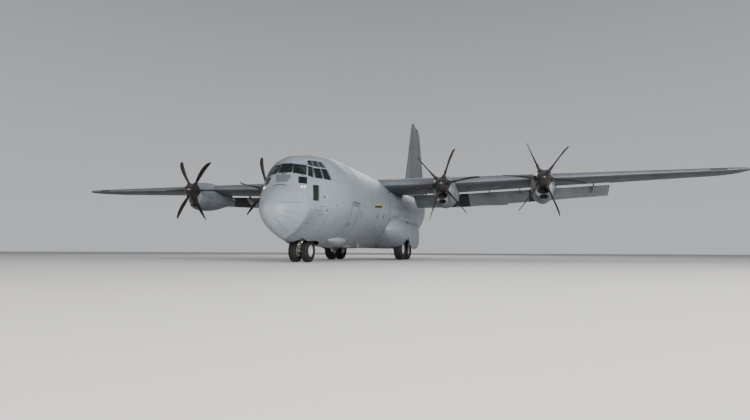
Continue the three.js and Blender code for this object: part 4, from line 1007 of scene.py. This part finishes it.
def makeWing():
    bm = bmesh.new()
    loft(bm, [wingSection(x) for x in wingStations(0.0, 20.2)], wing["around"])
    half = dress("wingSkin_port", bm, "wing", 50)
    x0, x1 = wing["flapInner"][0] - 0.02, wing["flapOuter"][1] + 0.02
    a0, a1 = wing["aileron"][0] - 0.03, wing["aileron"][1] + 0.03
    carve(half, [wingBlock(x0, x1, 0.76, 1.3, top=0.004), wingBlock(x0, x1, 0.92, 1.3),
                 wingBlock(a0, a1, 1 - wing["aileronShare"], 1.3)], smooth=45)
    addPair("wingSkin", half, "airframe", "grey", "wing_{}", "wing_centre")


makeWing()


wingTrim = {"bootShare": 0.055, "bootLift": 0.006, "boot": (18.3, 19.05), "lampAt": 20.1, "wick": 19.7}


def makeWingTrim():
    bm = bmesh.new()
    a, b = wingTrim["boot"]
    sections = []
    for i in range(6):
        x = a + (b - a) * i / 5
        _, chord, thick, *_ = wingRow(x)

        def point(angle, x=x, lift=wingTrim["bootLift"] / chord, thick=thick):
            share = (1 + math.cos(angle)) / 2 * wingTrim["bootShare"]
            half = thicknessAt(share) * thick + lift
            return wingPoint(x, share - lift, camberAt(share) + (half if math.sin(angle) >= 0 else -half))
        sections.append(point)
    loft(bm, sections, 40)
    addPair("tipBoots", dress("tipBoots_port", bm, "markDark", 50))
    bm = bmesh.new()
    ball(bm, wingPoint(wingTrim["lampAt"], 0.1, 0.0), m(0.075), (1, 1.7, 0.7), 24)
    green = addPair("tipLamp", dress("tipLamp_port", bm, "redLens", 40), "airframe", "white")
    green.data.materials[0] = paints["greenLens"]
    bm = bmesh.new()
    foot = wingPoint(wingTrim["wick"], 1.0, 0)
    rod(bm, foot - Vector((0, m(0.05), 0)), foot + Vector((0, m(0.16), 0)), m(0.006), m(0.003), 8)
    addPair("wingWicks", dress("wingWicks_port", bm, "boot", 40), "airframe", "tyre")


makeWingTrim()


def aileronSection(x):
    thick = wingRow(x)[2]
    hinge = 1 - wing["aileronShare"]
    nose = thicknessAt(hinge) * thick * 0.97

    def point(angle):
        share, up = surfaceShape(angle, hinge, nose, thick, 0.0015)
        steep = abs(math.sin(angle))
        if math.cos(angle) > 0 and steep <= 0.05:
            up *= 4 * steep
        return wingPoint(x, share, camberAt(hinge if math.cos(angle) < 0 else share) + up)
    return point


def makeAilerons():
    bm = bmesh.new()
    x0, x1 = wing["aileron"]
    loft(bm, [aileronSection(x0 + (x1 - x0) * i / 6) for i in range(7)], 48)
    addPair("aileronSkin", dress("aileronSkin_port", bm, "wing", 40), "aileron_{}", "grey", "aileron_{}")


makeAilerons()


def flapSection(x, grow=0.0):
    chord = wingRow(x)[1] * wing["flapShare"]
    nose = wingPoint(x, 0.93, -0.03)
    turn = math.radians(-wing["flapAngle"])
    drop = 0.008 * (x - wing["flapInner"][0]) - 0.04

    def point(angle):
        share, up = foil(angle, 0.14 + grow / chord)
        share = share * (1 + grow / chord) - grow / chord / 2
        return nose + Vector((0, m(chord * (share * math.cos(turn) - up * math.sin(turn))),
                              m(chord * (share * math.sin(turn) + up * math.cos(turn)) - drop)))
    return point


def makeFlaps():
    bm = bmesh.new()
    for x0, x1 in (wing["flapInner"], wing["flapOuter"]):
        loft(bm, [flapSection(x0 + (x1 - x0) * i / 5) for i in range(6)], 56)
        for x in (x0 + 0.9, (x0 + x1) / 2, x1 - 0.9):
            top, foot = wingPoint(x, 0.79, -0.01), flapSection(x)(math.pi * 1.3)
            slab(bm, [top + Vector((-m(0.03), 0, 0)), top + Vector((-m(0.03), 0, -m(0.3))),
                      foot + Vector((-m(0.03), m(0.1), -m(0.2))), foot + Vector((-m(0.03), m(0.14), 0))],
                 Vector((m(0.06), 0, 0)))
    addPair("flapSkin", dress("flapSkin_port", bm, "flap", 40), "airframe", "grey", "flap_{}")
    # Near-black bands laid over the flaps behind each engine
    bm = bmesh.new()
    for x, wide in wing["darkBand"]:
        loft(bm, [flapSection(x + wide * k, 0.008) for k in (-1, 0, 1)], 56)
    addPair("flapDarkBand", dress("flapDarkBand_port", bm, "darkBand", 40))


makeFlaps()
print("wing done")

# Tail
fin = {
    "rows": [(4.7, 23.1, 29.35), (6.4, 23.85, 29.05), (10.9, 25.75, 28.3), (11.3, 25.93, 28.14), (11.6, 26.08, 27.93),
             (11.77, 26.25, 27.75), (11.84, 26.6, 27.45)],
    "thick": 0.12, "rudder": (5.36, 11.1), "rudderTop": 11.6, "rudderRest": 15, "hinge": 0.66, "gap": 0.03,
    # station, half width and height of the fillet ahead of the fin
    "fillet": [(20.6, 0.02, 0.03), (21.4, 0.07, 0.13), (22.2, 0.12, 0.3), (22.9, 0.16, 0.62), (23.6, 0.19, 1.12),
               (24.1, 0.17, 1.6)],
}


def finLine(z):
    rows = fin["rows"]
    i = next(k for k in range(1, len(rows)) if rows[k][0] >= z - 1e-9)
    a, b = rows[i - 1], rows[i]
    t = (z - a[0]) / (b[0] - a[0])
    return a[1] + (b[1] - a[1]) * t, a[2] + (b[2] - a[2]) * t


def finSection(z):
    front, back = finLine(z)

    def point(angle):
        share, side = foil(angle, fin["thick"])
        return spot(side * (back - front), front + share * (back - front), z)
    return point


# The hinge runs straight on above the solid rudder's top, into the fin's tip.
def hingeSpot(z):
    front, back = finLine(z)
    low, high = fin["rudder"]
    if z <= high:
        station = front + fin["hinge"] * (back - front)
    else:
        (a, _), (b, _) = hingeSpot(low), hingeSpot(high)
        station = b + (b - a) * (z - high) / (high - low)
    share = (station - front) / (back - front)
    return station, thicknessAt(share) * fin["thick"] * (back - front)


def makeFin():
    bm = bmesh.new()
    loft(bm, [finSection(z) for z in (4.7, 5.4, 6.4, 8.0, 10.9, 11.25, 11.6, 11.72, 11.8, 11.84)], 80)
    skin = dress("finSkin", bm, "tail", 50)
    bottom, top = fin["rudder"][0], fin["rudderTop"]
    z0, z1 = bottom - fin["gap"], top + fin["gap"]
    (low, rLow), (high, rHigh) = hingeSpot(bottom), hingeSpot(top)
    outline = [spot(-1, s, z) for s, z in ((low, z0), (31, z0), (31, z1), (high, z1))]
    room = toolFrom(slab, outline, Vector((m(2), 0, 0)))
    cove = toolFrom(rod, spot(0, low, z0 - 0.03), spot(0, high, z1 + 0.03), m(rLow + 0.016), m(rHigh + 0.016), 40)
    carve(skin, [room, cove], smooth=50)
    settle(skin, "airframe", ["fin"])
    bm = bmesh.new()
    sections = []
    for z in (bottom, 6.4, 8.0, 9.5, 10.9, 11.1, 11.3, 11.45, top):
        front, back = finLine(z)
        station, radius = hingeSpot(z)

        def point(angle, front=front, chord=back - front, station=station, radius=radius, z=z):
            share, side = surfaceShape(angle, (station - front) / chord, radius * 0.98 / chord, fin["thick"], 0.002)
            return spot(side * chord, front + share * chord, z)
        sections.append(point)
    loft(bm, sections, 48)
    foot = spot(0, low, bottom)
    upward = (spot(0, hingeSpot(fin["rudder"][1])[0], fin["rudder"][1]) - foot).normalized()
    turn = Matrix.Rotation(math.radians(-fin["rudderRest"]), 3, upward)
    bmesh.ops.rotate(bm, cent=foot, matrix=turn, verts=bm.verts[:])
    addPiece("rudderSkin", bm, "tail", 40, "rudder", ["rudder"])
    bm = bmesh.new()
    loft(bm, [(lambda angle, s=s, half=half, high=high: spot(
        math.cos(angle) * half, s, 4.78 + math.sin(angle) * (high if math.sin(angle) > 0 else 0.05)))
        for s, half, high in fin["fillet"]], 32)
    addPiece("finFillet", bm, "tail", 60)


makeFin()

tail = {"half": 8.03, "z": 4.62, "rootFront": 25.0, "rootBack": 29.05, "tipFront": 26.55, "tipBack": 28.5,
        "elevator": (0.95, 7.55), "share": 0.64, "thick": 0.12,
        # half span and share of the chord at the round tip
        "tip": [(8.03, 0.55), (8.0, 0.7), (7.93, 0.82), (7.8, 0.92), (7.6, 0.97), (7.3, 1.0)]}


def tailRow(x):
    t = abs(x) / tail["half"]
    return (tail["rootFront"] + (tail["tipFront"] - tail["rootFront"]) * t,
            tail["rootBack"] + (tail["tipBack"] - tail["rootBack"]) * t)


def tailSection(x, share=1.0):
    front, back = tailRow(x)
    middle, chord = (front + back) / 2, back - front

    def point(angle):
        part, up = foil(angle, tail["thick"])
        return spot(x, middle + (front - middle + part * chord) * share, tail["z"] + up * chord * share)
    return point


def makeTailplane():
    bm = bmesh.new()
    rows = [(-x, share) for x, share in tail["tip"]] + [(0, 1.0)] + tail["tip"][::-1]
    loft(bm, [tailSection(x, share) for x, share in rows], 72)
    skin = dress("tailplaneSkin", bm, "wing", 50)
    x0, x1 = tail["elevator"]
    nose = thicknessAt(tail["share"]) * tail["thick"]
    (f0, b0), (f1, b1) = tailRow(x0), tailRow(x1)
    h0, h1 = f0 + tail["share"] * (b0 - f0), f1 + tail["share"] * (b1 - f1)
    r0, r1 = nose * (b0 - f0) + 0.012, nose * (b1 - f1) * 0.95 + 0.012
    tools = []
    for _, side in sides:
        corners = ((x0 - 0.03, h0), (x0 - 0.03, 31), (x1 + 0.03, 31), (x1 + 0.03, h1))
        outline = [spot(side * x, s, 3.5) for x, s in corners]
        tools += [toolFrom(slab, outline, Vector((0, 0, m(2)))),
                  toolFrom(rod, spot(side * (x0 - 0.05), h0, tail["z"]), spot(side * (x1 + 0.05), h1, tail["z"]),
                           m(r0), m(r1), 40)]
    carve(skin, tools, smooth=50)
    settle(skin, "airframe", ["tailplane"])
    bm = bmesh.new()
    sections = []
    for i in range(9):
        x = x0 + (x1 - x0) * i / 8
        front, back = tailRow(x)
        chord = (back - front) * (0.96 if x > 7.3 else 1.0)

        def point(angle, x=x, front=(front + back - chord) / 2, chord=chord):
            share, up = surfaceShape(angle, tail["share"], nose * 0.97, tail["thick"], 0.002)
            return spot(x, front + share * chord, tail["z"] + up * chord)
        sections.append(point)
    loft(bm, sections, 48)
    addPair("elevatorSkin", dress("elevatorSkin_port", bm, "wing", 40), "elevator_{}", "grey", "elevator_{}")


makeTailplane()
print("tail done")

# Engines
engine = {
    "places": [("port_outer", 10.3, 4.2, -7), ("port_inner", 5.12, 4.07, 11), ("starboard_inner", -5.12, 4.07, -14),
               ("starboard_outer", -10.3, 4.2, -2)],
    "plane": 9.5,
    # station, half width, top and bottom above the shaft
    "rows": [(9.76, 0.44, 0.44, -1.05), (10.05, 0.52, 0.52, -1.15), (10.6, 0.6, 0.62, -1.18),
             (11.4, 0.61, 0.66, -1.13), (12.3, 0.58, 0.6, -0.98), (13.2, 0.5, 0.3, -0.78), (14.0, 0.38, 0.1, -0.62),
             (14.45, 0.26, -0.08, -0.5)],
    # openings in front: height below the shaft, half width, half height
    "mouths": [(0.58, 0.28, 0.165), (0.9, 0.21, 0.115)],
    # radius, chord, thickness share, pitch, sweep towards the back
    "blade": [(0.3, 0.17, 0.95, 96, 0), (0.52, 0.18, 0.8, 94, 0), (0.8, 0.31, 0.22, 91, -0.02),
              (1.15, 0.39, 0.13, 88, -0.03), (1.5, 0.39, 0.1, 84, 0.0), (1.78, 0.33, 0.08, 81, 0.07),
              (1.96, 0.24, 0.07, 79, 0.15), (2.057, 0.1, 0.07, 78, 0.22)],
    # a thicker outer blade, past a radius; the outer engines' shorter tail, aft of a station
    "thicker": (1.35, 0.7), "tail": (0.86, 12),
}
bladeCurve = tableCurve(engine["blade"])


def nacelleSection(x, z, row, inset=0.0):
    s, half, top, bottom = row
    middle, high = (top + bottom) / 2, (top - bottom) / 2 - inset

    def point(angle):
        c, n = math.cos(angle), math.sin(angle)
        power = 1.0 if n < 0 else 0.85
        return spot(x + bend(c, power) * (half - inset), s, z + middle + bend(n, power) * high)
    return point


# Sections of an oval tube along the plane, from rows of station, share of its size and growth
def ovalTube(x, z, wide, high, rows):
    return [(lambda a, s=s, k=k, grow=grow: spot(
        x + math.cos(a) * (wide * k + grow), s, z + math.sin(a) * (high * k + grow))) for s, k, grow in rows]


def bladeSection(x, z, degrees, radius):
    chord, thick, pitch, sweep = bladeCurve(radius)
    turn, tilt = math.radians(degrees), math.radians(pitch)
    more, past = engine["thicker"]
    thick *= more if radius > past else 1.0
    out, around = Vector((math.cos(turn), 0, math.sin(turn))), Vector((-math.sin(turn), 0, math.cos(turn)))
    aft = Vector((0, 1, 0))
    lead = around * math.cos(tilt) - aft * math.sin(tilt)
    flat = around * math.sin(tilt) + aft * math.cos(tilt)
    hub = spot(x, engine["plane"], z)

    def point(angle):
        c, n = math.cos(angle), math.sin(angle)
        return hub + out * m(radius) + lead * m(c * chord / 2 - sweep) + flat * m(n * chord * thick / 2)
    return point


def makePropeller(name, x, z, phase):
    body = f"propeller_{name}"
    hub = spot(x, engine["plane"], z)
    bm = bmesh.new()
    radii = [0.3, 0.4, 0.52, 0.62, 0.72, 0.85, 1.0, 1.15, 1.3, 1.45, 1.6, 1.72, 1.82, 1.9, 1.97, 2.02, 2.045, 2.057]
    for i in range(6):
        loft(bm, [bladeSection(x, z, phase + 60 * i, r) for r in radii], 28)
    addPiece(f"blades_{name}", bm, "blade", 50, body, [body])
    bm = bmesh.new()
    profile = [(-0.62, 0.0), (-0.616, 0.04), (-0.6, 0.085), (-0.565, 0.14), (-0.51, 0.2), (-0.43, 0.26),
               (-0.32, 0.322), (-0.2, 0.372), (-0.08, 0.408), (0.05, 0.43), (0.09, 0.433), (0.095, 0.428),
               (0.102, 0.428), (0.107, 0.434), (0.17, 0.44), (0.235, 0.44), (0.24, 0.435), (0.24, 0.06), (0.66, 0.06),
               (0.66, 0.0)]
    turned(bm, [(m(a), m(r)) for a, r in profile], hub, Vector((0, 1, 0)), 64)
    addPiece(f"spinner_{name}", bm, "spinner", 40, body)
    bm = bmesh.new()
    for i in range(6):
        turn = math.radians(phase + 60 * i)
        out = Vector((math.cos(turn), 0, math.sin(turn)))
        rod(bm, hub + out * m(0.36), hub + out * m(0.47), m(0.125), m(0.118), 32)
        rod(bm, hub + out * m(0.46), hub + out * m(0.49), m(0.105), m(0.098), 32)
    addPiece(f"bladeCuffs_{name}", bm, "boot", 40, body)


def makeNacelle(name, x, z):
    share, start = engine["tail"] if "outer" in name else (1.0, 12)

    def shorter(station):
        return start + (station - start) * share if station > start else station
    rows = [(shorter(s), *rest) for s, *rest in engine["rows"]]
    curve = tableCurve(rows)
    front, pipe = rows[0][0], rows[-1][0]
    stations = [front, 9.8, 9.87, 9.96, 10.08, 10.25, 10.5, 10.8, 11.2, 11.6, 12.0, 12.4, 12.8, 13.2, 13.5, 13.8,
                14.05, 14.25]
    stations = [shorter(s) for s in stations] + [pipe]
    bm = bmesh.new()
    loft(bm, [nacelleSection(x, z, (s, *curve(s)), 0.03 if s == front else 0.0) for s in stations], 72)
    shell = dress(f"nacelleSkin_{name}", bm, "nacelle", 50)
    duct = ((9.6, 1.0, 0), (9.9, 0.98, 0), (10.3, 0.86, 0), (10.7, 0.7, 0))
    tools = [toolFrom(loft, ovalTube(x, z - down, wide, high, duct), 48) for down, wide, high in engine["mouths"]]
    tools.append(toolFrom(rod, spot(x, pipe - 0.75, z - 0.27), spot(x, pipe + 0.2, z - 0.33), m(0.15), m(0.19), 40))
    for side in (-1, 1):
        tools.append(toolFrom(ball, spot(x + side * 0.6, 10.75, z - 0.42), m(0.13), (0.5, 1.5, 0.62), 28))
    carve(shell, tools, smooth=50)
    settle(shell, "airframe", [f"nacelle_{name}"])
    lips, ducts = bmesh.new(), bmesh.new()
    lip = ((9.775, 1, 0.01), (9.748, 1, 0.022), (9.722, 1, 0.019), (9.712, 1, 0.004), (9.735, 1, -0.01),
           (9.78, 1, -0.012))
    for down, wide, high in engine["mouths"]:
        ring = ovalTube(x, z - down, wide, high, lip)
        loft(lips, [*ring, ring[0]], 56, closed=True)
        for i in range(-2, 3):
            at, half = x + i * wide * 0.36, high * 0.9
            brick(ducts, spot(at - 0.006, 10.02, z - down - half), spot(at + 0.006, 10.12, z - down + half))
        loft(ducts, ovalTube(x, z - down, wide, high, ((10.14, 1.06, 0), (10.17, 1.06, 0))), 40)
    addPiece(f"intakeLip_{name}", lips, "lip", 60)
    addPiece(f"ductCore_{name}", ducts, "duct", 40, "airframe")
    bm = bmesh.new()
    nozzle = [(-0.62, 0.0), (-0.62, 0.125), (-0.05, 0.15), (0.12, 0.158), (0.125, 0.166), (0.12, 0.172),
              (-0.05, 0.168), (-0.5, 0.145), (-0.66, 0.13), (-0.66, 0.0)]
    turned(bm, [(m(a), m(r)) for a, r in nozzle], spot(x, pipe, z - 0.3), Vector((0, 1, -0.06)).normalized(), 48)
    addPiece(f"exhaustPipe_{name}", bm, "exhaust", 50, "airframe")


def paintNode(node, paint):
    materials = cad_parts[node].data.materials
    materials.clear()
    materials.append(paints[paint])


for name, x, z, phase in engine["places"]:
    makePropeller(name, x, z, phase)
    makeNacelle(name, x, z)
    paintNode(f"engine_{name}", "core")
print("engines done")

# Sponsons and gear
sponson = {
    # station, outermost x, bottom, top
    "rows": [(10.02, 1.9, 1.3, 1.8), (10.25, 2.28, 1.05, 2.15), (10.65, 2.6, 0.84, 2.42), (11.1, 2.76, 0.74, 2.53),
             (11.7, 2.86, 0.69, 2.57), (12.3, 2.92, 0.68, 2.58), (13.6, 2.9, 0.68, 2.58), (14.8, 2.86, 0.7, 2.55),
             (15.5, 2.68, 0.82, 2.4), (16.1, 2.4, 1.05, 2.15), (16.5, 2.12, 1.35, 1.88), (16.64, 1.95, 1.5, 1.75)],
    "bay": (1.68, 2.78, 11.55, 14.77), "bayTop": 2.2,
}
sponsonCurve = tableCurve(sponson["rows"], lambda s: math.sqrt(max(0.0, s - 9.98)))


def sponsonSection(station):
    outer, bottom, top = sponsonCurve(station)
    front = max(0.0, 1 - (station - 10) / 1.7)

    def point(angle):
        z = (top + bottom) / 2 + bend(math.sin(angle), 0.75) * (top - bottom) / 2
        lean = 0.7 * max(0.0, 1.85 - z) ** 1.6 * front
        return spot(1.6 + bend(math.cos(angle), 0.75) * (outer - 1.6), station + lean, z)
    return point


def makeSponsons():
    bm = bmesh.new()
    stations = [10.02, 10.045, 10.1, 10.17, 10.27, 10.4, 10.55, 10.75, 11.0, 11.3, 11.7, 12.2, 12.8, 13.6, 14.3, 14.8,
                15.2, 15.5, 15.8, 16.1, 16.3, 16.45, 16.56, 16.62, 16.64]
    loft(bm, [sponsonSection(s) for s in stations], 72)
    port = dress("sponsonSkin_port", bm, "sponson", 50)
    x0, x1, s0, s1 = sponson["bay"]
    bay = toolFrom(brick, spot(x0, s0, -1), spot(x1, s1, sponson["bayTop"]), m(0.05))
    hull = toolFrom(loft, [bodySection(s, 0.03) for s in bodyStations(8.0, 20.0, 1.0)], 96)
    carve(port, [bay, hull, rampTool(0.3, 0.4)], smooth=50)
    addPair("sponsonSkin", port, "airframe", "grey", "sponson_{}")
    makeBays()


# Lining, frames and pipes of the wheel bays, and the round-bottomed doors that hang beside the wheels
def makeBays():
    x0, x1, s0, s1 = sponson["bay"]
    bm = bmesh.new()
    top = sponson["bayTop"]
    brick(bm, spot(x0, s0, top - 0.03), spot(x1, s1, top - 0.002))
    brick(bm, spot(x0 - 0.03, s0, 0.8), spot(x0 + 0.01, s1, top))
    count = 9
    for i in range(count):
        s = s0 + 0.06 + (s1 - s0 - 0.12) * i / (count - 1)
        brick(bm, spot(x0, s - 0.018, top - 0.12), spot(x1 - 0.02, s + 0.018, top - 0.02), m(0.004))
        brick(bm, spot(x0, s - 0.018, 0.85), spot(x0 + 0.08, s + 0.018, top - 0.05), m(0.004))
    for z in (1.05, 1.45, 1.85):
        rod(bm, spot(x0 + 0.05, s0 + 0.02, z), spot(x0 + 0.05, s1 - 0.02, z), m(0.016), count=10)
    for x in (x0 + 0.3, x0 + 0.55):
        rod(bm, spot(x, s0 + 0.02, top - 0.14), spot(x, s1 - 0.02, top - 0.14), m(0.014), count=10)
    addPair("bayLining", dress("bayLining_port", bm, "bay", 40))
    outline = [(11.7, 1.52), (11.72, 1.25), (11.9, 0.98), (12.3, 0.76), (12.85, 0.655), (13.2, 0.64), (13.55, 0.655),
               (14.1, 0.76), (14.5, 0.98), (14.68, 1.25), (14.7, 1.52)]
    bm = bmesh.new()
    slab(bm, [spot(2.85, s, z) for s, z in outline], Vector((m(0.035), 0, 0)), m(0.06))
    rims = [e for e in bm.edges if e.calc_face_angle(0) > 1.2]
    bmesh.ops.bevel(bm, geom=rims, offset=m(0.008), segments=2, profile=0.5, affect="EDGES", offset_type="OFFSET",
                    clamp_overlap=True, material=-1)
    middle = (13.2, 1.2)
    inner = [(middle[0] + (s - middle[0]) * 0.86, middle[1] + (z - middle[1]) * 0.82) for s, z in outline]
    for a, b in zip(inner, inner[1:]):
        rod(bm, spot(2.845, *a), spot(2.845, *b), m(0.016), count=8)
    for s in (12.3, 13.2, 14.1):
        brick(bm, spot(2.815, s - 0.02, 0.8), spot(2.855, s + 0.02, 1.62), m(0.005))
        rod(bm, spot(2.83, s, 1.55), spot(2.72, s, 1.72), m(0.022), count=12)
    leaf = dress("mainGearDoorSkin_port", bm, "sponson", 40)
    addPair("mainGearDoorSkin", leaf, "airframe", "grey", "main_gear_door_{}")


makeSponsons()

wheels = {
    "main": {"radius": 0.71, "width": 0.5, "rim": 0.34, "x": 2.17, "grooves": (-0.11, 0.0, 0.11)},
    "nose": {"radius": 0.49, "width": 0.33, "rim": 0.235, "x": 0.29, "grooves": (-0.06, 0.06)},
    "stations": {"front": 12.4, "rear": 13.92, "nose": 3.05},
}


# Half profile of a tyre from bead to bead, with grooves round its tread, as (across, radius)
def tyreProfile(wheel):
    half, r, q = wheel["width"] / 2, wheel["radius"], wheel["rim"]
    side = [(-half * 0.72, q), (-half * 0.8, q + 0.02), (-half * 0.93, q + (r - q) * 0.3), (-half, r * 0.76),
            (-half * 0.97, r * 0.85), (-half * 0.86, r * 0.925), (-half * 0.68, r * 0.972), (-half * 0.5, r * 0.99)]
    tread = []
    for g in wheel["grooves"]:
        crown = r * (1 - 0.012 * (g / half) ** 2)
        tread += [(g - 0.014, crown), (g - 0.01, crown - 0.02), (g + 0.01, crown - 0.02), (g + 0.014, crown)]
    other = [(-a, b) for a, b in reversed(side)]
    return [*side, *tread, *other, (half * 0.72, q - 0.03), (-half * 0.72, q - 0.03), (-half * 0.72, q)]


def makeWheel(name, place, body, wheel, nodes, side):
    centre = spot(side * wheel["x"], wheels["stations"][place], wheel["radius"])
    axis = Vector((side, 0, 0))
    bm = bmesh.new()
    turned(bm, [(m(a), m(r)) for a, r in tyreProfile(wheel)], centre, axis, 40)
    addPiece(name.format("Tyre"), bm, "rubber", 35, body, nodes[:1])
    half, q = wheel["width"] * 0.36, wheel["rim"]
    bm = bmesh.new()
    profile = [(-half, 0.09), (-half, q - 0.03), (-half - 0.012, q - 0.01), (-half - 0.012, q + 0.012),
               (-half + 0.02, q), (half - 0.02, q), (half + 0.012, q + 0.012), (half + 0.012, q - 0.012),
               (half - 0.02, q * 0.86),
               (half - 0.075, q * 0.74), (half - 0.08, q * 0.52), (half - 0.03, q * 0.42), (half, q * 0.36),
               (half + 0.01, 0.03), (half + 0.01, 0.0)]
    turned(bm, [(m(a), m(r)) for a, r in profile], centre, axis, 44)
    for i in range(10):
        turn = 2 * math.pi * i / 10
        spoke = Vector((0, math.cos(turn), math.sin(turn)))
        bolt = centre + spoke * m(q * 0.63)
        rod(bm, bolt + axis * m(half - 0.085), bolt + axis * m(half - 0.045), m(0.013), count=6)
    addPiece(name.format("Rim"), bm, "hubWhite", 35, body, nodes[1:])


for name, side in sides:
    for place in ("front", "rear"):
        makeWheel(f"main{{}}_{name}_{place}", place, f"main_wheel_{name}_{place}", wheels["main"],
                  [f"main_tyre_{name}_{place}", f"main_rim_{name}_{place}"], side)
    makeWheel(f"nose{{}}_{name}", "nose", "nose_wheels", wheels["nose"], [f"nose_tyre_{name}"], side)

nodePaints = {
    "main_legs_port": "strut", "main_legs_starboard": "strut", "nose_leg_cylinder": "strut", "nose_leg": "chrome",
    "nose_hubs": "hubWhite", "hold_floor": "bay", "ramp": "bay", "flight_deck": "deck",
}
for node, paint in nodePaints.items():
    paintNode(node, paint)
print("gear done")

# Stage, light and camera
studio = {
    # full-size camera place (x, station, z), turn towards starboard, tilt and roll in degrees, focal length in pixels
    "camera": (9.345, -17.801, 0.438), "yaw": 16.137, "pitch": 4.678, "roll": 0.247, "focal": 517.667,
    "pictureWidth": 750, "sensor": 36,
    "floor": (0.8, 0.78, 0.75), "sky": (0.8, 0.82, 0.86), "zenith": (0.3, 0.32, 0.35), "skyStrength": 0.66,
}


def makeCamera():
    data = bpy.data.cameras.new("view")
    data.sensor_width = studio["sensor"]
    data.lens = studio["focal"] / studio["pictureWidth"] * studio["sensor"]
    data.clip_end = 400
    camera = bpy.data.objects.new("view", data)
    bpy.context.scene.collection.objects.link(camera)
    yaw, pitch, roll = (math.radians(studio[key]) for key in ("yaw", "pitch", "roll"))
    ahead = Vector((-math.sin(yaw) * math.cos(pitch), math.cos(yaw) * math.cos(pitch), math.sin(pitch)))
    right = Vector((math.cos(yaw), math.sin(yaw), 0))
    up = right.cross(ahead)
    across = right * math.cos(roll) + up * math.sin(roll)
    upright = -right * math.sin(roll) + up * math.cos(roll)
    turn = Matrix((across, upright, -ahead)).transposed()
    camera.matrix_world = Matrix.Translation(spot(*studio["camera"])) @ turn.to_4x4()
    bpy.context.scene.camera = camera


def makeLight(name, place, target, size, power, colour):
    data = bpy.data.lights.new(name, "AREA")
    data.shape = "RECTANGLE"
    data.size, data.size_y = size
    data.energy = power
    data.color = colour
    lamp = bpy.data.objects.new(name, data)
    bpy.context.scene.collection.objects.link(lamp)
    way = Vector(target) - Vector(place)
    lamp.matrix_world = Matrix.Translation(place) @ way.to_track_quat("-Z", "Y").to_matrix().to_4x4()


makeCamera()
makeLight("keyLight", (13, -20, 5), (0, -4, 1.2), (14, 8), 5200, (1.0, 0.98, 0.96))
makeLight("sideLight", (-13, -20, 4), (-1, -4, 1.2), (10, 6), 900, (1.0, 0.92, 0.86))
makeLight("topLight", (0, 2, 20), (0, 1, 0), (22, 16), 500, (0.96, 0.98, 1.0))
makeLight("backLight", (-6, 24, 12), (0, 2, 1.5), (16, 8), 1500, (0.98, 0.98, 1.0))

world = bpy.data.worlds.new("studio")
world.use_nodes = True
sky = world.node_tree
height = axesOf(sky, sky.nodes.new("ShaderNodeTexCoord").outputs["Generated"])[2]
feed(sky.nodes["Background"].inputs["Color"],
     blendColour(sky, fade(sky, height, 0.0, 0.8), studio["sky"], studio["zenith"]))
feed(sky.nodes["Background"].inputs["Strength"], studio["skyStrength"])
bpy.context.scene.world = world

bm = bmesh.new()
bmesh.ops.create_grid(bm, x_segments=2, y_segments=2, size=160)
floor = dress("studioFloor", bm, "deck", 0, normals=False)
floorWorn = tuple(0.97 * c for c in studio["floor"])
floor.data.materials[0] = finish("floorFinish", studio["floor"], floorWorn, 0.7, size=0.2, grime=0.0, streaks=0.0,
                                 bump=0.0)

print("studio done")
